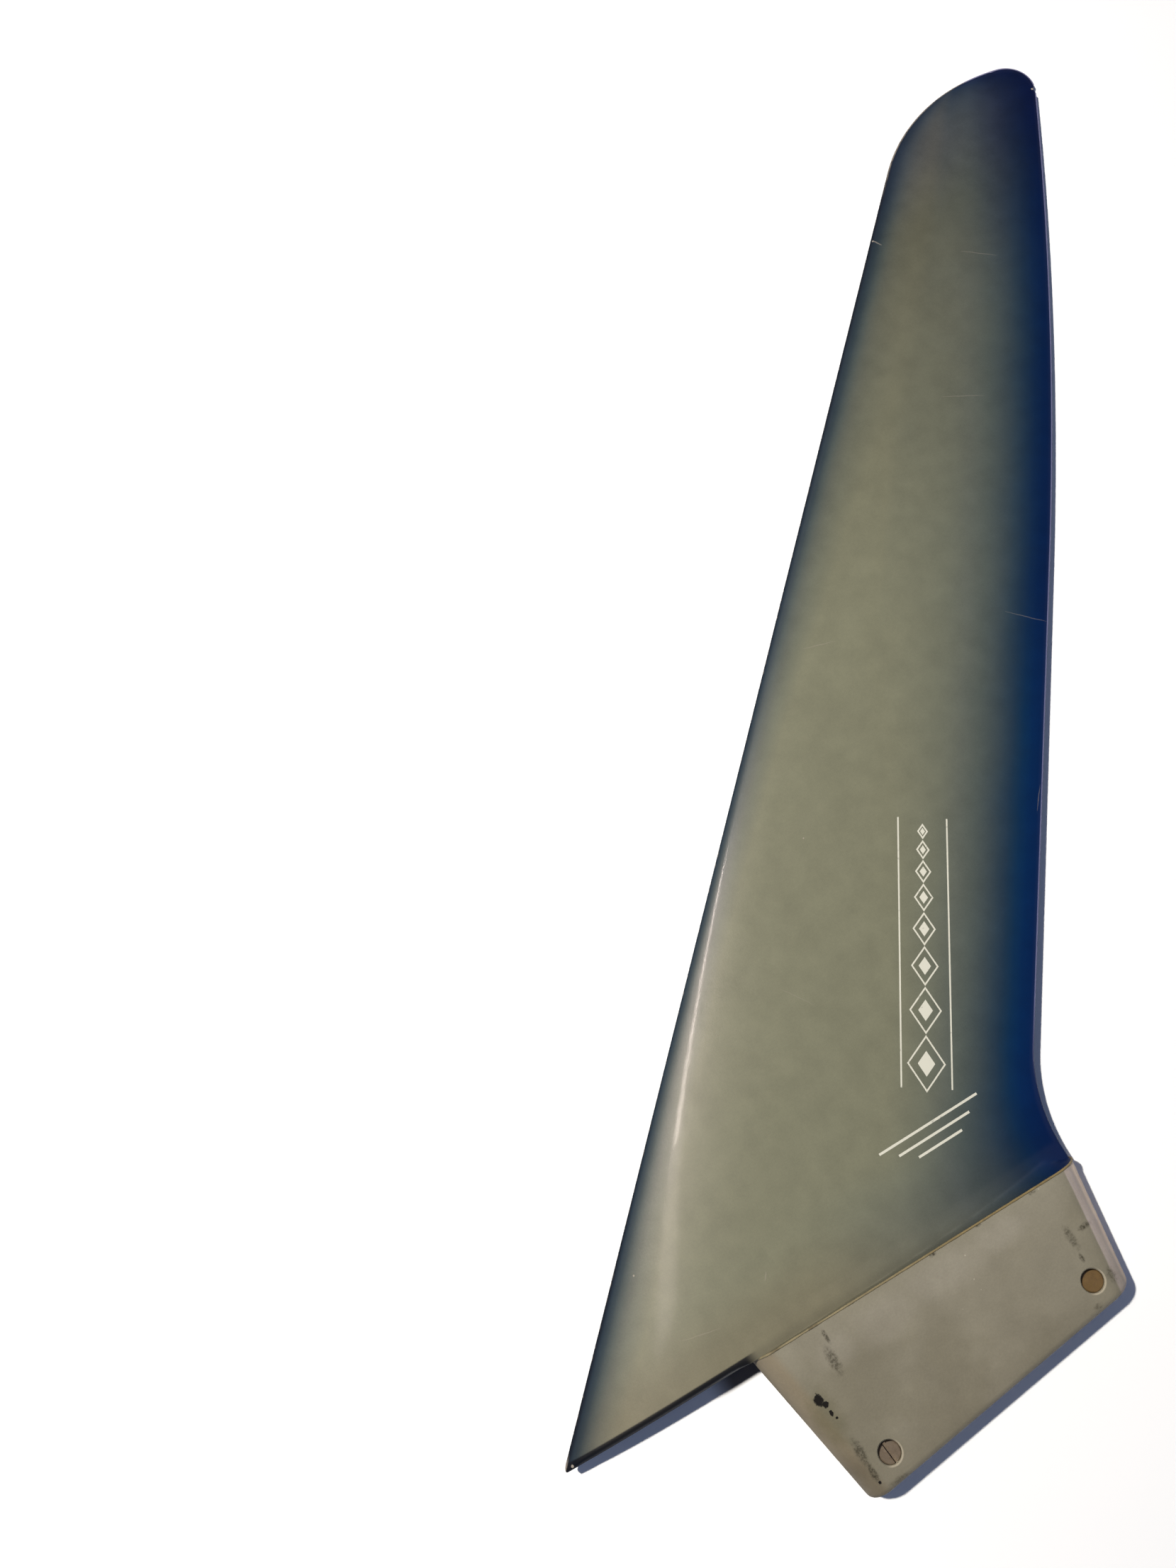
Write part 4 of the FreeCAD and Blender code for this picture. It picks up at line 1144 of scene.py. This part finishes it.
def make_resin(finish):
    """Filled casting resin: warm grey, rubbed and streaked at both round ends, the rear end pale partly
    from a painted reflection of the pale table.
    """
    material, tree, shader = start_material("Cast resin")
    place, x, y, z = position_in(tree)
    mottle = use(tree, grain_group(), Position=place, Coarse=11 * MM, Fine=0.8 * MM, Depth=0.26)
    clouds = noise(tree, place, 30 * MM, detail=3.0, roughness=0.6)
    uneven = clouds - 0.5
    smudges = spots(tree, place, PALE_SMUDGES, grit=9, raggedness=0.9, softness=0.6)
    tint = layered(tree, shade(121, 116, 99),
                   (rise(clouds, 0.36, 0.66), finish.resin),
                   (0.45 * rise(y + 4 * uneven, -15, -4), shade(145, 140, 124)),
                   (0.28 * smudges, shade(158, 152, 140)))

    # Round ends: behind, lilac grey that is partly rubbed wear and partly a painted reflection of the pale
    # table, and paler outwards as painted light; in front, pinkish and darker below
    streaks = noise(tree, vector_math(tree, "MULTIPLY", place, (1, 0.12, 1)), MM / 1.4)
    rear_line = x - (62.2 + 0.146 * y) + 1.2 * uneven
    front_line = -x - (60.8 + 0.19 * y) + 1.2 * uneven
    rear_end = rise(rear_line, -0.3, 0.5)
    front_end = rise(front_line, -2.5, 1.5)
    ends = most(rear_end, front_end)
    tint = layered(tree, tint,
                   (0.75 * rear_end, finish.lilac_wear_and_reflection),
                   (0.75 * rise(rear_line, 3.0, 4.5), shade(240, 218, 190)),
                   (0.7 * front_end, shade(128, 116, 95)),
                   (0.35 * rear_end * rise(streaks, 0.45, 0.75), shade(164, 156, 158)),
                   (0.45 * front_end * rise(y, -37, -48), shade(72, 62, 44)))

    # A greenish dark patch round the pits, and greyer and darker towards the deep end
    dirt = spots(tree, place, GREENISH_PATCH, grit=4, raggedness=1.2, softness=0.7)
    tint = layered(tree, tint, (0.5 * dirt, shade(90, 86, 60)),
                   (0.35 * rise(y - 0.12 * x, -30, -52), shade(112, 106, 90)))
    tint = toned(tree, tint, mottle["Shade"])

    # Painted highlight on the worn edge of each cross hole, on its rear and deeper side, where the lamp
    # lights the bevel
    for name in NUTS:
        low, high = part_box(name)
        centre = (low + high) / (2 * MM)
        aft_of = x - centre.x
        out_of = y - centre.y
        away = hypotenuse(aft_of, out_of)
        ring = rise(away, 4.75, 4.5) * rise(aft_of - out_of, -1, 3)
        tint = blend(tree, 0.55 * ring, tint, shade(186, 176, 154))

    # Fine pale specks, smears, and near-black painted shade in the pits
    cells = node(tree, "ShaderNodeTexVoronoi", {"Vector": place, "Scale": 190.0}, feature="F1")
    dots = rise(Field(tree, cells.outputs["Distance"]), 0.07, 0.03)
    dots = dots * rise(noise(tree, place, 20 * MM), 0.5, 0.6)
    smears = spots(tree, place, SMEARS, grit=1.4, raggedness=1.3, softness=0.55)
    broken = rise(noise(tree, place, 0.9 * MM, detail=4.0, roughness=0.7), 0.4, 0.6)
    pits = spots(tree, place, PITS, grit=0.9, raggedness=1.5, softness=0.2) * (z > 0.0)
    tint = layered(tree, tint, (0.5 * dots, shade(196, 188, 172)),
                   (smears * (0.35 + 0.65 * broken), shade(50, 46, 32)),
                   (0.97 * pits, shade(12, 10, 8)))

    height = mottle["Height"] + 0.8 * ends * streaks - 9.0 * pits
    dress(tree, shader, Base_Color=tint, Roughness=0.64 + 0.14 * uneven + 0.06 * ends + 0.2 * pits,
          IOR=1.5, Normal=bump(tree, height, 0.07 * MM))
    lay_out(tree)
    return material


class FIN_OT_head(bpy.types.Operator):
    """Makes the cast plug in place of its solid"""

    bl_idname = "fin.head"
    bl_label = "Make Plug"

    def execute(self, context):
        blade, head = context.scene.fin_blade, context.scene.fin_head
        plug = bpy.data.objects.new("cast_plug", plug_mesh(blade, head))
        context.scene.collection.objects.link(plug)
        carve(plug, plug_cutters(blade, head))
        smooth_by_angle(plug.data, SHARP_PLUG)
        put(plug, make_resin(context.scene.fin_finish), "cast_resin", "head")
        return {"FINISHED"}


# Barrel nuts


def make_brass(name, tint, centre):
    """Tarnished brass with turning marks round the nut's axis and a painted shadow towards its rim."""
    material, tree, shader = start_material(name)
    place, x, y, _ = position_in(tree)
    aft_of = x - centre.x / MM
    out_of = y - centre.y / MM
    away = hypotenuse(aft_of, out_of)
    turning = sine(away * (2 * math.pi / 0.22))
    mottle = use(tree, grain_group(), Position=place, Coarse=2.6 * MM, Fine=0.4 * MM, Depth=0.3)
    tarnish = noise(tree, place, 1.9 * MM, detail=4.0, roughness=0.65)
    dulled = rise(tarnish, 0.4, 0.7)
    # Painted shadow in the gap on the nut's upper front side, a dark crescent where the rim of the hole
    # shades the nut
    gap = rise(away + 0.35 * (out_of - 0.3 * aft_of), 4.1, 4.6)
    coat = layered(tree, tint, (0.55 * dulled, shade(70, 54, 36)), (0.95 * gap, shade(16, 12, 9)))
    coat = toned(tree, coat, mottle["Shade"] + 0.03 * turning)
    dress(tree, shader, Base_Color=coat, Metallic=0.4 - 0.3 * dulled,
          Roughness=0.42 + 0.2 * (tarnish - 0.5),
          Normal=bump(tree, mottle["Height"] + 0.3 * turning, 0.02 * MM))
    lay_out(tree)
    return material


class FIN_OT_nuts(bpy.types.Operator):
    """Gives the two barrel nuts their tarnished brass"""

    bl_idname = "fin.nuts"
    bl_label = "Finish Barrel Nuts"

    def execute(self, context):
        finish = context.scene.fin_finish
        for name, tint in zip(NUTS, (finish.front_nut, finish.rear_nut)):
            low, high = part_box(name)
            metal = make_brass(f"Brass of {name}", tint, (low + high) / 2)
            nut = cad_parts[name]
            nut.data.materials.clear()
            nut.data.materials.append(metal)
        return {"FINISHED"}


# Table, lamps, world and camera

TABLE_SLOPE = math.radians(0.97)
TABLE_LEVEL = -9.27 * MM
TABLE_REACH = 6.0
FIN_MIDDLE = (0.05, 0.15, 0)
# The camera's directions in the fin's frame
CAMERA_RIGHT = Vector((0.86107, -0.50483, -0.06089))
CAMERA_LOOK = Vector((0.06116, 0.22171, -0.97319))
# Lamps: name, place, target, tint, width and, if it isn't round, its length along the blade
KEY_LAMP = ("key_lamp", (-0.39, 0.67, 1.30), (0.05, 0.10, 0), (1.0, 0.955, 0.87), 0.06)
STRIP_LAMP = ("strip_lamp", (-0.43, 0.68, 1.50), (0.0, 0.15, 0), (1.0, 0.85, 0.78), 0.035, 0.68)
LOW_STRIP_LAMP = ("low_strip_lamp", (-0.43, 0.16, 1.50), (0.0, 0.15, 0), (1.0, 0.85, 0.78),
                  0.10, 0.36)


def add_lamp(power, name, place, target, tint, width, along_blade=None):
    """An area lamp that faces its target: round, or a rectangle if along_blade is given."""
    lamp = bpy.data.lights.new(name, "AREA")
    lamp.energy = power
    lamp.color = tint
    lamp.size = width
    lamp.shape = "DISK"
    if along_blade is not None:
        lamp.shape = "RECTANGLE"
        lamp.size_y = along_blade
    stand = bpy.data.objects.new(name, lamp)
    back = (Vector(place) - Vector(target)).normalized()
    side = Vector((0, 1, 0)).cross(back).normalized()
    turn = Matrix((side, back.cross(side), back)).transposed().to_4x4()
    stand.matrix_world = Matrix.Translation(place) @ turn
    bpy.context.scene.collection.objects.link(stand)
    return stand


def ray_is(tree, *kinds):
    """1 for a ray of one of these kinds, and 0 for any other."""
    path = node(tree, "ShaderNodeLightPath").outputs
    return functools.reduce(most, [Field(tree, path[kind]) for kind in kinds])


def seen_by_eye(tree):
    """1 on what the camera sees straight, in gloss or through glass, and 0 for lighting rays."""
    return ray_is(tree, "Is Camera Ray", "Is Glossy Ray", "Is Transmission Ray")


def make_table_material(settings):
    """White table top. The camera sees it a little brighter, so that it stays white."""
    material, tree, shader = start_material("Table top")
    place, x, y, _ = position_in(tree)
    mottle = use(tree, grain_group(), Position=place, Coarse=90 * MM, Fine=2 * MM, Depth=0.012)
    tint = toned(tree, blend(tree, 0.02, settings.table, shade(236, 236, 240)), mottle["Shade"])
    # Gloss on the leading edge sees a dark room in place of the table ahead of the fin
    ahead = rise(0.86 * x - 0.77 * y, -20, -60) * ray_is(tree, "Is Glossy Ray")
    # Deeper shade in the corner between the overhang and the plug
    corner = rise(x, -90, -78) * rise(x, -60, -66) * rise(y, -9.4, -7.4) * rise(y, 16, 9)
    tint = layered(tree, tint, (0.9 * ahead, shade(30, 36, 48)), (0.88 * corner, shade(34, 22, 16)))
    # Far from the fin the camera sees plain white, so that the table fades into the room
    from_fin = vector_math(tree, "DISTANCE", place, FIN_MIDDLE)
    far = rise(from_fin, 0.45, 0.85) * ray_is(tree, "Is Camera Ray")
    dress(tree, shader, Base_Color=tint, Roughness=0.6, Specular_IOR_Level=0.2,
          Emission_Color=blend(tree, far, (0.5, 0.7, 1), (1, 1, 1)),
          Emission_Strength=0.045 * seen_by_eye(tree) * (1 - 0.95 * corner) + far)
    lay_out(tree)
    return material


def make_table(settings):
    """A wide plain table top. The fin rests on its plug's side and its tip, so it slopes a little."""
    mesh = bpy.data.meshes.new("table_top")
    corners = [(x * TABLE_REACH, y * TABLE_REACH, 0) for x, y in ((-1, -1), (1, -1), (1, 1), (-1, 1))]
    mesh.from_pydata(corners, [], [(0, 1, 2, 3)])
    mesh.transform(Matrix.Translation((0, 0, TABLE_LEVEL)) @ Matrix.Rotation(TABLE_SLOPE, 4, "X"))
    table = bpy.data.objects.new("table_top", mesh)
    mesh.materials.append(make_table_material(settings))
    bpy.context.scene.collection.objects.link(table)


def make_world():
    """A dim bluish room. The camera sees it white, and gloss sees it white near the horizon."""
    world = bpy.data.worlds.new("Room")
    world.use_nodes = True
    tree = world.node_tree
    tree.nodes.clear()
    to_x, to_y, level = parts_of(tree, node(tree, "ShaderNodeTexCoord").outputs["Generated"])
    room = blend(tree, rise(level, 0.05, 0.7), (0.20, 0.23, 0.34), (0.042, 0.051, 0.095))
    behind = rise(0.86 * to_x - 0.5 * to_y, -0.1, 0.2)
    horizon = rise(level, 0.14, 0.02) * behind
    white = seen_by_eye(tree) * most(ray_is(tree, "Is Camera Ray"), horizon)
    sky = node(tree, "ShaderNodeBackground", {"Color": blend(tree, white, room, (1, 1, 1))})
    output = node(tree, "ShaderNodeOutputWorld", {"Surface": sky.outputs["Background"]})
    output.is_active_output = True
    lay_out(tree)
    bpy.context.scene.world = world


def make_camera(settings):
    """The camera looks down from above the blade and leans a little over its edge."""
    look = CAMERA_LOOK.normalized()
    right = (CAMERA_RIGHT - look * CAMERA_RIGHT.dot(look)).normalized()
    turn = Matrix((right, right.cross(look), -look)).transposed().to_4x4()
    data = bpy.data.cameras.new("camera")
    data.sensor_width = 36
    data.lens = settings.lens
    data.clip_start = 0.01
    camera = bpy.data.objects.new("camera", data)
    camera.matrix_world = Matrix.Translation(settings.camera) @ turn
    bpy.context.scene.collection.objects.link(camera)
    bpy.context.scene.camera = camera


class FIN_OT_stage(bpy.types.Operator):
    """Sets up the table, the lamps, the room and the camera"""

    bl_idname = "fin.stage"
    bl_label = "Set Up Stage"

    def execute(self, context):
        settings = context.scene.fin_stage
        make_table(settings)
        make_world()
        make_camera(settings)
        key = add_lamp(settings.key_power, *KEY_LAMP)
        key.visible_glossy = False
        # The strips only make the long gloss along the leading edge
        for power, strip in ((settings.strip_power, STRIP_LAMP),
                             (0.2 * settings.strip_power, LOW_STRIP_LAMP)):
            add_lamp(power, *strip).visible_diffuse = False
        context.scene.view_settings.view_transform = "Standard"
        return {"FINISHED"}


class FIN_PT_panel(bpy.types.Panel):
    """Lists the fin's sizes, colours and pieces"""

    bl_idname = "FIN_PT_panel"
    bl_label = "Weed Fin"
    bl_space_type = "VIEW_3D"
    bl_region_type = "UI"
    bl_category = "Fin"

    def draw(self, context):
        for title, settings in (("Blade", context.scene.fin_blade), ("Plug", context.scene.fin_head),
                                ("Finish", context.scene.fin_finish),
                                ("Stage", context.scene.fin_stage)):
            box = self.layout.box()
            box.label(text=title)
            for prop in settings.bl_rna.properties:
                if prop.type == "FLOAT":
                    box.prop(settings, prop.identifier)
        for operator in OPERATORS:
            self.layout.operator(operator.bl_idname)


GROUPS = {"fin_blade": BladeSizes, "fin_head": HeadSizes, "fin_finish": Finish,
          "fin_stage": StageSettings}
OPERATORS = (FIN_OT_blade, FIN_OT_seam, FIN_OT_head, FIN_OT_nuts, FIN_OT_stage)


def register():
    for kind in (*GROUPS.values(), *OPERATORS, FIN_PT_panel):
        bpy.utils.register_class(kind)
    for name, kind in GROUPS.items():
        setattr(bpy.types.Scene, name, bpy.props.PointerProperty(type=kind))


def unregister():
    for name in GROUPS:
        delattr(bpy.types.Scene, name)
    for kind in reversed((*GROUPS.values(), *OPERATORS, FIN_PT_panel)):
        bpy.utils.unregister_class(kind)


def main():
    register()
    bpy.ops.fin.blade()
    bpy.ops.fin.seam()
    bpy.ops.fin.head()
    bpy.ops.fin.nuts()
    bpy.ops.fin.stage()


if __name__ == "__main__":
    main()
